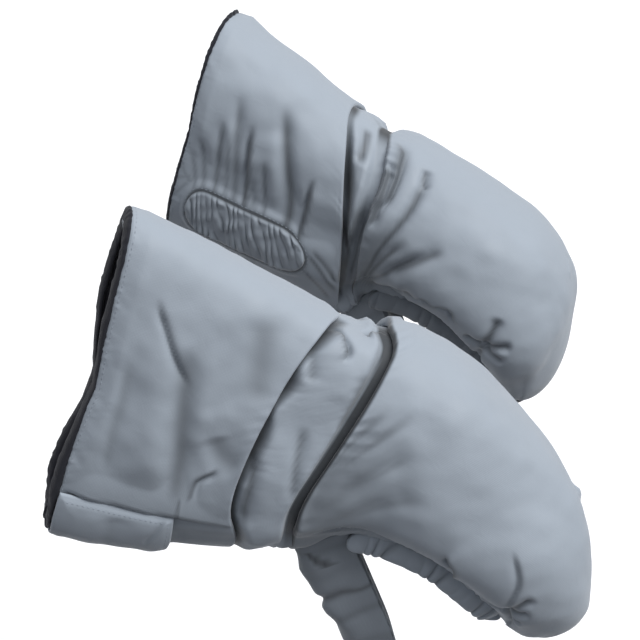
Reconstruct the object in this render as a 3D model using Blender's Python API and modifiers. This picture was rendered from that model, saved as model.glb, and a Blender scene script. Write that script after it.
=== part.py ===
"""A pair of padded stroller hand muffs, one mitt for each handle.

Each mitt is one long padded sleeve: a flared cuff, a puffed wrist band and a hand hood that bends down over the
handle. Every wall is a shell, a wadding and a fleece lining, split along the underside. A flap closes the split
under the cuff, and a tongue closes it behind the handle tube.

Frame: metres, +X from the left mitt to the right one, +Y forward, +Z up. The origin is the middle of the right
mitt's handle slot, on the axis of the handle tube that leaves it. A mitt's own frame has the same axes with +X
pointing away from the other mitt.
"""

import math

import bmesh
import bpy
import numpy as np
from mathutils import Vector

# Driving sizes, in metres
MITT_LENGTH = 0.375
FULL_THICKNESS = 0.122
HANDLE_SPACING = 0.440
TUBE_DIAMETER = 0.045
SLOT_WIDTH = 0.050

# Layers of every wall
SHELL_THICKNESS = 0.0012
WADDING_THICKNESS = 0.0080
LINING_THICKNESS = 0.0024
LAYER_GAP = 0.0005
SHELL_GAP = 0.0012
LAID_GAP = 0.0008

# Seams, grooves and the folds of the shells
SEAM_GAP = 0.0040
GROOVE_DEPTH = 0.0050
BAND_CROWN_POWER = 0.6
GROOVE_FADE_STATIONS = 0.35
PUFF_HEIGHT = 0.0065
FOLD_WIDTH = 0.0145

# How the mitts hang on their handles
TOE_IN_ANGLE = math.radians(10)
TUBE_LEAN_ANGLE = math.radians(21.3)

# Mouth binding
BINDING_RADIUS = 0.0058
BINDING_POINTS = 25

# Closure flap under the cuff, and its hook and loop strips. Places across it are measured round the cuff from the
# split: positive on the outer side, negative on the inner side.
FLAP_THICKNESS = 0.0070
FLAP_EDGE_THICKNESS = 0.0016
STRIP_THICKNESS = 0.0014
FLAP_EDGE_WIDTH = 0.0110
FLAP_SEWN_EDGE = -0.0150
FLAP_FREE_EDGE = 0.0520
STRIP_INSET = 0.0040
STRIP_WIDTH = 0.0240
FLAP_SPAN_SHARES = (0.03, 0.64)
STRIP_SPAN_SHARES = (0.09, 0.58)

# Gathered panel over its elastic, on the inner side of the cuff
GATHER_THICKNESS = 0.0022
RUCHE_HEIGHT = 0.0018
RUCHE_COUNT = 10
GATHER_MIDDLE = -0.0660
GATHER_WIDTH = 0.0400
GATHER_SPAN_SHARES = (0.125, 0.865)
GATHER_ROUND_SHARE = 0.40
GATHER_END_SHARE = 0.85
ELASTIC_THICKNESS = 0.0010
ELASTIC_INSET = 0.0050
ELASTIC_SPAN_SHARES = (0.18, 0.81)

# Wrist elastic
WRIST_ELASTIC_STATIONS = (2.45, 3.0)
WRIST_RECESS_STATIONS = (2.20, 2.40, 3.10, 3.30)

# Ruffled casings along the slot, and the elastic in them
CASING_HEIGHT = 0.0165
CASING_WIDTH = 0.0065
CASING_WALL = 0.0012
RUFFLE_HEIGHT = 0.0014
RIM_ELASTIC_RADIUS = 0.0011
CASING_STATIONS = (4.1, 8.2)
CASING_ROWS = 17

# Tongue behind the handle tube: its fullness from its sewn top to its lower end
TONGUE_LENGTH = 0.108
TONGUE_THICKNESS = 0.039
TONGUE_EDGE_THICKNESS = 0.006
TONGUE_SIDE_CLEARANCE = 0.0015
TONGUE_SEAT_GAP = 0.0004
TONGUE_OVERRUN = 0.0060
TONGUE_SEAT_STATIONS = (2.2, 4.1)
TONGUE_PLACE_SHARES = (0.0, 0.2, 0.45, 0.78, 1.0)
TONGUE_FULLNESS_SHARES = (0.92, 1.0, 0.90, 0.77, 0.40)
TONGUE_ROUND_SHARE = 0.28
TONGUE_END_SHARE = 0.80
TONGUE_SIDE_SHARE = 0.98
TUBE_CLEARANCE = 0.0045

# Sew-on snap at the front end of the slot
SNAP_RADIUS = 0.0062
SNAP_THICKNESS = 0.0040
SNAP_LIP = 0.0008
STUD_RADIUS = 0.0020
STUD_LENGTH = 0.0022
STUD_CLEARANCE = 0.0004
SNAP_SEAT_GAP = 0.0008
SNAP_STATION = 8.8

# How finely the walls are drawn
AROUND = 16
SHELL_AROUND = 24
CUFF_ROWS = (0.0, 0.4, 0.8, 1.2, 1.6, 2.0)
CUFF_SHELL_ROWS = (0.0, 0.2, 0.4, 0.6, 0.8, 1.0, 1.2, 1.4, 1.6, 1.8, 2.0)
HAND_ROWS = (2.06, 2.2, 2.4, 2.7, 3.1, 3.3, 3.7, 4.1, 4.35, 4.7, 5.4, 6.2, 7.0, 7.8, 8.5, 9.2, 9.9, 10.5, 11.0)
CUFF_END_STATION = 2.0
BAND_END_STATION = 3.1

# Sections from the cuff's mouth (station 0) to the toe (station 11). In the mitt's own frame: the top point and the
# bottom point as Y and Z shares of MITT_LENGTH, then the thickness as a share of FULL_THICKNESS. The two mitts hang a
# little differently: the right cuff lies flatter and wider, and the left cuff stands rounder.
SECTION_SHARES = {
    "right": (
        (-0.488, 0.717, -0.653, 0.115, 0.50),
        (-0.304, 0.608, -0.490, 0.080, 0.60),
        (-0.117, 0.493, -0.325, 0.056, 0.71),
        (-0.037, 0.475, -0.232, 0.066, 0.75),
        (0.027, 0.453, -0.123, 0.080, 0.85),
        (0.123, 0.387, -0.037, 0.064, 0.97),
        (0.232, 0.253, 0.045, 0.021, 1.00),
        (0.309, 0.125, 0.112, -0.037, 0.97),
        (0.344, -0.008, 0.163, -0.085, 0.87),
        (0.336, -0.093, 0.181, -0.109, 0.70),
        (0.280, -0.144, 0.189, -0.117, 0.46),
        (0.215, -0.142, 0.185, -0.120, 0.14),
    ),
    "left": (
        (-0.421, 0.653, -0.557, 0.181, 0.79),
        (-0.277, 0.565, -0.380, 0.108, 0.79),
        (-0.157, 0.480, -0.200, 0.040, 0.75),
        (-0.091, 0.435, -0.160, 0.055, 0.75),
        (-0.021, 0.411, -0.123, 0.067, 0.85),
        (0.096, 0.355, -0.037, 0.064, 0.97),
        (0.232, 0.264, 0.040, 0.024, 1.00),
        (0.304, 0.155, 0.104, -0.029, 0.97),
        (0.315, 0.013, 0.141, -0.077, 0.87),
        (0.288, -0.088, 0.160, -0.107, 0.70),
        (0.237, -0.147, 0.165, -0.120, 0.46),
        (0.184, -0.144, 0.160, -0.119, 0.14),
    ),
}

# Where the split under the mitt opens into the slot: sewn, full, narrowing, and drawn together by the snap
SLOT_STATIONS = (0.0, 3.7, 4.1, 7.0, 7.8, 8.5, 11.0)
NARROWING_SHARE = 0.78
WIDEST_SPLIT_SHARE = 0.90

# How thick the wall is, against its full thickness: all its layers are drawn in at the toe
THICK_STATIONS = (0.0, 9.0, 11.0)
THICK_SHARES = (1.0, 1.0, 0.36)

# How square the ends of a section are: small is a flat-sided cuff, 1 an ellipse
END_STATIONS = (0.0, 2.0, 4.0, 11.0)
END_SHARES = (0.15, 0.25, 0.50, 0.80)

# How far the two wrist seams bow along the mitt, in stations, at angles round the section from its bottom
BOW_ANGLES = (0, 35, 50, 70, 90, 118, 150, 180)
CUFF_SEAM_BOWS = {
    "right": (0, 0, -0.10, -0.34, -0.40, -0.28, -0.10, 0),
    "left": (0, 0, 0.20, 0.28, 0.26, 0.10, 0, 0),
}
BAND_SEAM_BOWS = {
    "right": (0, 0, -0.15, -0.40, -0.24, -0.02, 0.20, 0),
    "left": (0, 0, 0.15, 0.30, 0.30, 0.30, 0.15, 0),
}
BOW_REACH_STATIONS = (0.8, 4.1)

# Main folds of the shells, which run through (station, angle) points. A fold with positive angles is on the outer side
# and one with negative angles on the inner side. Each ends with its depth as a share of the puff that it cuts.
FOLD_SHARES = {
    "right": (
        ((0.40, 122), (0.88, 99), (1.10, 80), (1.15, 62), 0.85),
        ((1.35, 140), (1.50, 112), (1.58, 92), 0.60),
        ((3.10, 64), (3.30, 86), (3.70, 104), (4.20, 114), 0.85),
        ((3.50, 62), (4.00, 76), (4.70, 86), 0.75),
        ((6.60, 66), (7.10, 52), (7.60, 40), 1.00),
        ((0.45, -92), (0.40, -112), 0.75),
        ((0.90, -90), (0.86, -116), 0.90),
        ((1.38, -92), (1.15, -128), 0.90),
        ((3.10, -60), (3.60, -78), (4.40, -92), 0.85),
        ((4.35, -150), (4.35, -112), (3.90, -72), (3.40, -52), 0.88),
    ),
    "left": (
        ((0.45, -88), (0.30, -112), 0.75),
        ((0.92, -88), (0.86, -116), 0.90),
        ((1.38, -90), (1.12, -126), 0.90),
        ((1.62, -86), (1.66, -102), 0.80),
        ((2.60, -150), (2.45, -112), (2.60, -80), (3.00, -54), 0.90),
        ((3.50, -168), (3.72, -140), (3.78, -120), 0.90),
        ((4.38, -156), (4.40, -130), (4.30, -102), (3.90, -70), (3.40, -50), 0.88),
        ((5.30, -66), (4.60, -58), (4.00, -52), 0.85),
        ((6.55, -94), (6.80, -64), (7.15, -40), 1.00),
        ((0.40, 122), (0.88, 99), (1.15, 66), 0.85),
        ((3.10, 60), (3.40, 90), (4.10, 114), 0.85),
        ((3.50, 60), (4.00, 76), (4.70, 86), 0.75),
    ),
}

# Where the shells puff up between their folds: fading in from the split, and out at the mouth, the crown and the toe
PUFF_STATIONS = (0.0, 0.25, 8.6, 10.0)
PUFF_CROWN_ANGLES = (145, 180)
PUFF_CROWN_SHARE = 0.30
PUFF_EDGE_ANGLES = {"outer cuff": (62, 84), "inner cuff": (84, 98), "hand": (32, 58)}

SIDES = {"right": 1, "left": -1}
TUBE_DOWN = np.array([math.sin(TUBE_LEAN_ANGLE), -math.cos(TUBE_LEAN_ANGLE)])
TUBE_BACK = np.array([-math.cos(TUBE_LEAN_ANGLE), -math.sin(TUBE_LEAN_ANGLE)])

WADDING_DEPTH = SHELL_THICKNESS + SHELL_GAP
LINING_DEPTH = WADDING_DEPTH + WADDING_THICKNESS + LAYER_GAP
WALL_DEPTH = LINING_DEPTH + LINING_THICKNESS

COLOURS = {
    "grey_shell": ((0.29, 0.33, 0.38), 0.62),
    "white_wadding": ((0.86, 0.86, 0.84), 0.95),
    "black_fleece": ((0.020, 0.021, 0.026), 0.95),
    "black_binding": ((0.025, 0.026, 0.032), 0.80),
    "hook_and_loop": ((0.07, 0.075, 0.085), 0.90),
    "white_elastic": ((0.72, 0.72, 0.70), 0.80),
    "grey_snap": ((0.16, 0.17, 0.19), 0.40),
}


def material(name):
    """The Principled material of that name, made once."""
    found = bpy.data.materials.get(name)
    if found:
        return found
    colour, roughness = COLOURS[name]
    made = bpy.data.materials.new(name)
    made.use_nodes = True
    surface = made.node_tree.nodes["Principled BSDF"]
    surface.inputs["Base Color"].default_value = (*colour, 1)
    surface.inputs["Roughness"].default_value = roughness
    made.diffuse_color = (*colour, 1)
    return made


def spline(table, place):
    """The row of a table at a place between its rows, on a smooth curve through them (Catmull-Rom)."""
    table = np.asarray(table, float)
    last = len(table) - 1
    index = min(int(place), last - 1)
    f = place - index
    before = table[max(index - 1, 0)]
    a, b = table[index], table[index + 1]
    after = table[min(index + 2, last)]
    return 0.5 * (
        2 * a + (b - before) * f + (2 * before - 5 * a + 4 * b - after) * f**2 + (3 * a - before - 3 * b + after) * f**3
    )


class Mitt:
    """One mitt: its sections, and where a point of its walls lies in the row frame."""

    def __init__(self, side):
        self.side = side
        self.sign = SIDES[side]
        self.table = np.array(SECTION_SHARES[side])
        turn = self.sign * TOE_IN_ANGLE
        self.forward = np.array([-math.sin(turn), math.cos(turn), 0.0])
        self.outward = self.sign * np.array([math.cos(turn), math.sin(turn), 0.0])
        self.origin = np.array([0.0 if self.sign > 0 else -HANDLE_SPACING, 0.0, 0.0])
        self.folds = []
        for *places, share in FOLD_SHARES[side]:
            line = np.array([self.local(station, math.radians(angle), 0) for station, angle in places])
            self.folds.append((line[:-1], line[1:], share))

    def world(self, x, y, z):
        """A point of the mitt's own frame, in the row frame."""
        return self.origin + x * self.outward + y * self.forward + z * np.array([0.0, 0.0, 1.0])

    def direction(self, x, y, z):
        """A direction of the mitt's own frame, in the row frame."""
        return self.world(x, y, z) - self.origin

    def section(self, station):
        """Middle (Y, Z), unit up direction, half height and half thickness of the section there."""
        row = spline(self.table, station)
        top, bottom = row[:2] * MITT_LENGTH, row[2:4] * MITT_LENGTH
        height = np.linalg.norm(top - bottom)
        return (top + bottom) / 2, (top - bottom) / height, height / 2, row[4] * FULL_THICKNESS / 2

    def rim_x(self, station):
        """How far the edge of the split is from the middle plane."""
        sewn, full, snapped = SEAM_GAP / 2, SLOT_WIDTH / 2, SNAP_THICKNESS + SNAP_SEAT_GAP
        places = (sewn, sewn, full, full, full * NARROWING_SHARE, snapped, snapped)
        return np.interp(station, SLOT_STATIONS, places)

    def bowed(self, station, angle):
        """The station as the wrist seams bow: all of the bow on a seam, and less of it away from them."""
        turn = math.degrees(math.acos(math.cos(angle)))
        cuff, band = (np.interp(turn, BOW_ANGLES, bows[self.side]) for bows in (CUFF_SEAM_BOWS, BAND_SEAM_BOWS))
        first, last = BOW_REACH_STATIONS
        return station + np.interp(station, (first, CUFF_END_STATION, BAND_END_STATION, last), (0, cuff, band, 0))

    def local(self, station, angle, depth):
        """X, Y and Z in the mitt's frame of a wall point: angle 0 is the bottom and 90 degrees the outer side."""
        station = self.bowed(station, angle)
        middle, up, half_height, half_width = self.section(station)
        inset = depth * np.interp(station, THICK_STATIONS, THICK_SHARES)
        h, w = half_height - inset, half_width - inset
        square = np.interp(station, END_STATIONS, END_SHARES)
        flat = math.cos(angle) / math.sqrt(math.cos(angle) ** 2 + square * math.sin(angle) ** 2)
        rise = -((h - w) * flat + w * math.cos(angle))
        y, z = middle + up * rise
        return w * math.sin(angle), y, z

    def point(self, station, angle, depth):
        return self.world(*self.local(station, angle, depth))

    def angle_at(self, station, distance):
        """The angle of the wall point this far round the section from its bottom; negative is the inner side."""
        angles = np.linspace(0, math.pi, 91)
        line = np.array([self.local(station, angle, 0) for angle in angles])
        lengths = np.insert(np.cumsum(np.linalg.norm(np.diff(line, axis=0), axis=1)), 0, 0)
        return math.copysign(np.interp(abs(distance), lengths, angles), distance)

    def split_angle(self, station, depth):
        """The angle at which the wall ends, at the edge of the split."""
        half_width = self.section(station)[3] - depth * np.interp(station, THICK_STATIONS, THICK_SHARES)
        return math.asin(min(self.rim_x(station) / half_width, WIDEST_SPLIT_SHARE))

    def puff(self, station, angle):
        """How far the shell stands off the wadding there: up between its folds, and down on it along them."""
        turn = math.degrees(math.acos(math.cos(angle)))
        if station > CUFF_END_STATION:
            edge = "hand"
        elif math.sin(angle) > 0:
            edge = "outer cuff"
        else:
            edge = "inner cuff"
        room = np.interp(station, PUFF_STATIONS, (0, 1, 1, 0))
        room *= np.interp(turn, PUFF_EDGE_ANGLES[edge], (0, 1))
        room *= np.interp(turn, PUFF_CROWN_ANGLES, (1, PUFF_CROWN_SHARE))
        if not room:
            return 0.0
        here = np.array(self.local(station, angle, 0))
        valley = 0.0
        for a, b, share in self.folds:
            along = np.clip(((here - a) * (b - a)).sum(1) / ((b - a) ** 2).sum(1), 0, 1)
            away = np.linalg.norm(a + along[:, None] * (b - a) - here, axis=1).min()
            valley = max(valley, share * math.exp(-((away / FOLD_WIDTH) ** 2)))
        return PUFF_HEIGHT * room * (1 - valley)

    def skin(self, stations, depth, relief=None, folded=False):
        """Rows of points of one skin, from the outer edge of the split over the top to its inner edge."""
        rows = []
        for station in stations:
            here = depth + (relief(station) if relief else 0)
            edge = self.split_angle(station, here)
            row = []
            for angle in np.linspace(edge, 2 * math.pi - edge, (SHELL_AROUND if folded else AROUND) + 1):
                row.append(self.point(station, angle, here - (self.puff(station, angle) if folded else 0)))
            rows.append(row)
        return rows


def new_object(name, mesh, material_name, collection, smooth_angle=40):
    """An object in the collection, smooth but for its sharp edges."""
    made = bpy.data.objects.new(name, mesh)
    collection.objects.link(made)
    mesh.materials.clear()
    mesh.materials.append(material(material_name))
    mesh.shade_smooth()
    mesh.set_sharp_from_angle(angle=math.radians(smooth_angle))
    return made


def centred(points):
    """The middle of a set of points, for an object's origin."""
    return np.mean(np.asarray(points).reshape(-1, 3), axis=0)


def wall(name, outer, inner, material_name, collection, origin=None, ring=False):
    """A closed wall lofted between two skins of unlike sections, each given as rows of points."""
    origin = centred(outer) if origin is None else np.asarray(origin)
    rows, columns = len(outer), len(outer[0])
    build = bmesh.new()
    skins = [[[build.verts.new(p - origin) for p in row] for row in skin] for skin in (outer, inner)]
    spans = columns if ring else columns - 1
    for skin in skins:
        for i in range(rows - 1):
            for j in range(spans):
                k = (j + 1) % columns
                corners = [skin[i][j], skin[i][k], skin[i + 1][k], skin[i + 1][j]]
                build.faces.new(corners if 2 * j < spans else corners[1:] + corners[:1])
    # both skins are cut along the same diagonals, mirrored about the middle column, so that nested walls never touch
    bmesh.ops.triangulate(build, faces=build.faces, quad_method="FIXED")
    a, b = skins
    for i in (0, rows - 1):
        for j in range(spans):
            k = (j + 1) % columns
            build.faces.new((a[i][j], a[i][k], b[i][k], b[i][j]))
    if not ring:
        for j in (0, columns - 1):
            for i in range(rows - 1):
                build.faces.new((a[i][j], a[i + 1][j], b[i + 1][j], b[i][j]))
    bmesh.ops.recalc_face_normals(build, faces=build.faces)
    mesh = bpy.data.meshes.new(name)
    build.to_mesh(mesh)
    build.free()
    made = new_object(name, mesh, material_name, collection)
    made.location = origin
    return made


def tube(name, points, radius, material_name, collection, resolution=2):
    """A round cord or bead along points."""
    origin = centred(points)
    curve = bpy.data.curves.new(name, "CURVE")
    curve.dimensions = "3D"
    curve.bevel_depth = radius
    curve.bevel_resolution = resolution
    curve.use_fill_caps = True
    line = curve.splines.new("POLY")
    line.points.add(len(points) - 1)
    for at, p in zip(line.points, points):
        at.co = (*(p - origin), 1)
    line.use_smooth = True
    made = bpy.data.objects.new(name, curve)
    made.location = origin
    curve.materials.append(material(material_name))
    collection.objects.link(made)
    return made


def band_relief(station):
    """The wrist band puffs up between two grooves."""
    f = (station - CUFF_END_STATION) / (BAND_END_STATION - CUFF_END_STATION)
    return GROOVE_DEPTH * (1 - math.sin(math.pi * min(max(f, 0), 1)) ** BAND_CROWN_POWER)


def hand_relief(station):
    """The hand hood rises out of the groove beside the wrist band."""
    if station < BAND_END_STATION:
        return band_relief(station)
    return GROOVE_DEPTH * math.exp((BAND_END_STATION - station) / GROOVE_FADE_STATIONS)


def wrist_recess(station):
    """Room for the wrist elastic between the wadding and the lining."""
    room = ELASTIC_THICKNESS + 2 * LAYER_GAP
    return -room * np.interp(station, WRIST_RECESS_STATIONS, (0, 1, 1, 0))


def cuff(mitt, collection):
    """The cuff's shell and wadding."""
    name = mitt.side + "_cuff_"
    outer, inner = (mitt.skin(CUFF_SHELL_ROWS, depth, folded=True) for depth in (0, SHELL_THICKNESS))
    wall(name + "shell", outer, inner, "grey_shell", collection)
    outer = mitt.skin(CUFF_ROWS, WADDING_DEPTH)
    inner = mitt.skin(CUFF_ROWS, WADDING_DEPTH + WADDING_THICKNESS)
    wall(name + "wadding", outer, inner, "white_wadding", collection)


def wrist(mitt, collection):
    """The puffed band at the wrist, and the elastic that draws the wrist in."""
    rows = [s for s in HAND_ROWS if s < BAND_END_STATION] + [BAND_END_STATION - (HAND_ROWS[0] - CUFF_END_STATION)]
    outer, inner = (mitt.skin(rows, depth, band_relief, folded=True) for depth in (0, SHELL_THICKNESS))
    wall(mitt.side + "_wrist_band", outer, inner, "grey_shell", collection)
    depth = WADDING_DEPTH + WADDING_THICKNESS - ELASTIC_THICKNESS - LAYER_GAP
    rows = (WRIST_ELASTIC_STATIONS[0], HAND_ROWS[3], WRIST_ELASTIC_STATIONS[1])
    outer, inner = mitt.skin(rows, depth), mitt.skin(rows, depth + ELASTIC_THICKNESS)
    wall(mitt.side + "_wrist_elastic", outer, inner, "white_elastic", collection)


def hand(mitt, collection):
    """The hand hood's shell, and the wadding that runs on under the wrist band."""
    name = mitt.side + "_hand_"
    rows = [station for station in HAND_ROWS if station >= BAND_END_STATION]
    outer, inner = (mitt.skin(rows, depth, hand_relief, folded=True) for depth in (0, SHELL_THICKNESS))
    wall(name + "shell", outer, inner, "grey_shell", collection)
    outer = mitt.skin(HAND_ROWS, WADDING_DEPTH, hand_relief)
    inner = mitt.skin(HAND_ROWS, WADDING_DEPTH + WADDING_THICKNESS, wrist_recess)
    wall(name + "wadding", outer, inner, "white_wadding", collection)


def lining(mitt, collection):
    """The fleece lining, in one piece from the mouth to the toe, and the bound edge of the mouth."""
    rows = (*CUFF_ROWS, *HAND_ROWS)
    outer, inner = mitt.skin(rows, LINING_DEPTH), mitt.skin(rows, WALL_DEPTH)
    wall(mitt.side + "_lining", outer, inner, "black_fleece", collection)
    middle, up, _, half_width = mitt.section(0)
    depth = WALL_DEPTH / 2
    start = math.asin((BINDING_RADIUS + SEAM_GAP / 2) / (half_width - depth))
    away = (BINDING_RADIUS + LAYER_GAP) * mitt.direction(0, -up[1], up[0])
    angles = np.linspace(start, 2 * math.pi - start, BINDING_POINTS)
    path = [mitt.point(0, angle, depth) + away for angle in angles]
    tube(mitt.side + "_mouth_binding", path, BINDING_RADIUS, "black_binding", collection, 1)


def patch(mitt, stations, edges, depth, columns):
    """Rows of points of a sheet laid on the cuff between two edges. The depth is a number, or changes across it."""
    rows = []
    for station in stations:
        row = []
        for distance in np.linspace(*edges, columns):
            here = depth(distance) if callable(depth) else depth
            row.append(mitt.point(station, mitt.angle_at(station, distance), here))
        rows.append(row)
    return rows


def flap_inner(distance):
    """Depth of the flap's inner face: it lies on the cuff at its sewn edge, and on two strips where it closes."""
    strips = 2 * STRIP_THICKNESS + 3 * LAID_GAP
    start = FLAP_FREE_EDGE - STRIP_INSET - STRIP_WIDTH
    return -np.interp(distance, (FLAP_SEWN_EDGE, start), (LAID_GAP, strips))


def flap_outer(distance):
    """Depth of the flap's outer face: the flap is thin at its sewn edge and at its free edge."""
    places = (FLAP_SEWN_EDGE, FLAP_SEWN_EDGE + FLAP_EDGE_WIDTH, FLAP_FREE_EDGE - FLAP_EDGE_WIDTH, FLAP_FREE_EDGE)
    sizes = (FLAP_EDGE_THICKNESS, FLAP_THICKNESS, FLAP_THICKNESS, FLAP_EDGE_THICKNESS)
    return flap_inner(distance) - np.interp(distance, places, sizes)


def closure_flap(mitt, collection):
    """The flap under the cuff, sewn to the inner edge of the split, and its hook and loop strips."""
    stations = np.linspace(*(CUFF_END_STATION * np.array(FLAP_SPAN_SHARES)), 5)
    edges = (FLAP_SEWN_EDGE, FLAP_FREE_EDGE)
    inner = patch(mitt, stations, edges, flap_inner, 9)
    outer = patch(mitt, stations, edges, flap_outer, 9)
    hinge = (inner[0][0] + inner[-1][0]) / 2
    wall(mitt.side + "_closure_flap", outer, inner, "grey_shell", collection, origin=hinge)
    stations = np.linspace(*(CUFF_END_STATION * np.array(STRIP_SPAN_SHARES)), 5)
    edges = (FLAP_FREE_EDGE - STRIP_INSET - STRIP_WIDTH, FLAP_FREE_EDGE - STRIP_INSET)
    face = -LAID_GAP
    for name in ("_cuff_loop_strip", "_flap_hook_strip"):
        near = patch(mitt, stations, edges, face, 4)
        far = patch(mitt, stations, edges, face - STRIP_THICKNESS, 4)
        wall(mitt.side + name, far, near, "hook_and_loop", collection, origin=hinge)
        face -= STRIP_THICKNESS + LAID_GAP


def stadium(mitt, span_shares, width, rows, depth):
    """A sheet with round ends on the inner side of the cuff, with its long side along the cuff."""
    sheet = []
    for f in np.linspace(-1, 1, rows):
        station = CUFF_END_STATION * np.interp(f, (-1, 1), span_shares)
        rounding = max(abs(f) - 1 + GATHER_ROUND_SHARE, 0) / GATHER_ROUND_SHARE
        half = width / 2 * math.sqrt(1 - GATHER_END_SHARE * rounding**2)
        edges = (GATHER_MIDDLE - half, GATHER_MIDDLE + half)
        here = depth(f) if callable(depth) else depth
        sheet += patch(mitt, [station], edges, here, 5)
    return sheet


def gathers(mitt, collection):
    """The ruched panel low on the inner side of the cuff, over the elastic that draws it up."""
    elastic_face = -LAID_GAP - ELASTIC_THICKNESS
    panel_face = elastic_face - LAID_GAP

    def ruched(f):
        wave = 0.5 + 0.5 * math.cos(RUCHE_COUNT * math.pi * (f + 1))
        return panel_face - GATHER_THICKNESS - RUCHE_HEIGHT * wave

    rows = 2 * RUCHE_COUNT + 1
    inner = stadium(mitt, GATHER_SPAN_SHARES, GATHER_WIDTH, rows, panel_face)
    outer = stadium(mitt, GATHER_SPAN_SHARES, GATHER_WIDTH, rows, ruched)
    wall(mitt.side + "_gather_panel", outer, inner, "grey_shell", collection)
    width = GATHER_WIDTH - 2 * ELASTIC_INSET
    inner = stadium(mitt, ELASTIC_SPAN_SHARES, width, 9, -LAID_GAP)
    outer = stadium(mitt, ELASTIC_SPAN_SHARES, width, 9, elastic_face)
    wall(mitt.side + "_gather_elastic", outer, inner, "white_elastic", collection)


def rim_seat(mitt, station):
    """The lowest point of the shell's outer rim, between the rows that the shell is drawn with."""
    after = next(i for i, row in enumerate(HAND_ROWS) if row >= station)
    ends = []
    for row in HAND_ROWS[after - 1 : after + 1]:
        relief = hand_relief(row)
        ends.append(mitt.local(row, mitt.split_angle(row, relief), relief))
    share = (station - HAND_ROWS[after - 1]) / (HAND_ROWS[after] - HAND_ROWS[after - 1])
    return (1 - share) * np.array(ends[0]) + share * np.array(ends[1])


def casing_ring(mitt, station, side, half_width, half_height):
    """One closed section of a casing or of its bore, hung under the rim on the outer side (1) or the inner one (-1)."""
    x, y, z = rim_seat(mitt, station)
    up = mitt.section(station)[1]
    middle = np.array([y, z]) - up * (CASING_HEIGHT / 2 + LAYER_GAP)
    ring = []
    for turn in np.linspace(0, 2 * math.pi, 8, endpoint=False):
        y_here, z_here = middle + up * half_height * math.cos(turn)
        ring.append(mitt.world(side * x + half_width * math.sin(turn), y_here, z_here))
    return ring


def rim_casings(mitt, collection):
    """The ruffled casings that hang from both edges of the slot, each with its elastic."""
    stations = np.linspace(*CASING_STATIONS, CASING_ROWS)
    bore_width = CASING_WIDTH / 2 - CASING_WALL
    bore_height = CASING_HEIGHT / 2 - 2 * CASING_WALL
    for label, side in (("outer", 1), ("inner", -1)):
        skin, bore, path = [], [], []
        for i, station in enumerate(stations):
            swell = RUFFLE_HEIGHT * (i % 2)
            skin.append(casing_ring(mitt, station, side, CASING_WIDTH / 2 + swell, CASING_HEIGHT / 2))
            bore.append(casing_ring(mitt, station, side, bore_width, bore_height))
            path.append(np.mean(bore[-1], axis=0))
        name = f"{mitt.side}_{label}_rim_"
        wall(name + "casing", skin, bore, "grey_shell", collection, ring=True)
        tube(name + "elastic", path[1:-1], RIM_ELASTIC_RADIUS, "white_elastic", collection, 0)


def tongue_seat(mitt):
    """The line that the tongue hangs from, laid against the wrist's underside: how far down it is at a distance back."""
    rows = [row for row in HAND_ROWS if TONGUE_SEAT_STATIONS[0] <= row <= TONGUE_SEAT_STATIONS[1]]
    points = [rim_seat(mitt, row)[1:] for row in rows]
    *rest, front = [(point @ TUBE_BACK, point @ TUBE_DOWN) for point in points]
    reach = TUBE_DIAMETER / 2 + TUBE_CLEARANCE + TONGUE_THICKNESS + TONGUE_OVERRUN
    slope = max((down - front[1]) / (back - front[0]) for back, down in rest if back < reach)
    return lambda back: front[1] + slope * (back - front[0]) + TONGUE_SEAT_GAP


def tongue_point(mitt, x, back, down):
    """A point given by its distances behind the tube's axis and down along it."""
    y, z = TUBE_BACK * back + TUBE_DOWN * down
    return mitt.world(x, y, z)


def handle_tongue(mitt, collection):
    """The padded tongue sewn under the wrist, which hangs behind the handle tube and closes the slot there."""
    clear_radius = TUBE_DIAMETER / 2 + TUBE_CLEARANCE
    full_half_width = SLOT_WIDTH / 2 - CASING_WIDTH / 2 - RUFFLE_HEIGHT - TONGUE_SIDE_CLEARANCE
    seat = tongue_seat(mitt)
    rear, front = [], []
    for f in np.linspace(0, 1, 10):
        past = max(f - 1 + TONGUE_ROUND_SHARE, 0) / TONGUE_ROUND_SHARE
        half_width = full_half_width * math.sqrt(1 - TONGUE_END_SHARE * past**2)
        fullness = np.interp(f, TONGUE_PLACE_SHARES, TONGUE_FULLNESS_SHARES)
        rows = [[], []]
        for g in np.linspace(-1, 1, 9):
            x = half_width * math.sin(g * math.pi / 2)
            near = math.sqrt(clear_radius**2 - x**2)
            swell = math.sqrt(1 - TONGUE_SIDE_SHARE * g**4) * fullness
            far = near + TONGUE_EDGE_THICKNESS + (TONGUE_THICKNESS - TONGUE_EDGE_THICKNESS) * swell
            for row, back in zip(rows, (far, near)):
                row.append(tongue_point(mitt, x, back, seat(back) + f * TONGUE_LENGTH))
        rear.append(rows[0])
        front.append(rows[1])
    edge = clear_radius + TONGUE_THICKNESS
    hinge = tongue_point(mitt, 0, edge, seat(edge))
    wall(mitt.side + "_handle_tongue", rear, front, "grey_shell", collection, origin=hinge)


def turned(name, profile, place, axis, material_name, collection, steps=16):
    """A turned piece: a profile of (radius, height) pairs, top to bottom down its outer side, swept by Screw."""
    mesh = bpy.data.meshes.new(name)
    mesh.from_pydata([(r, 0, h) for r, h in profile], [(i, i + 1) for i in range(len(profile) - 1)], [])
    made = bpy.data.objects.new(name, mesh)
    collection.objects.link(made)
    mesh.materials.append(material(material_name))
    screw = made.modifiers.new("Turn", "SCREW")
    screw.steps = steps
    screw.render_steps = steps
    screw.use_merge_vertices = True
    screw.merge_threshold = 0.00002
    made.location = place
    made.rotation_mode = "QUATERNION"
    made.rotation_quaternion = Vector(axis).to_track_quat("Z", "Y")
    return made


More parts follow.
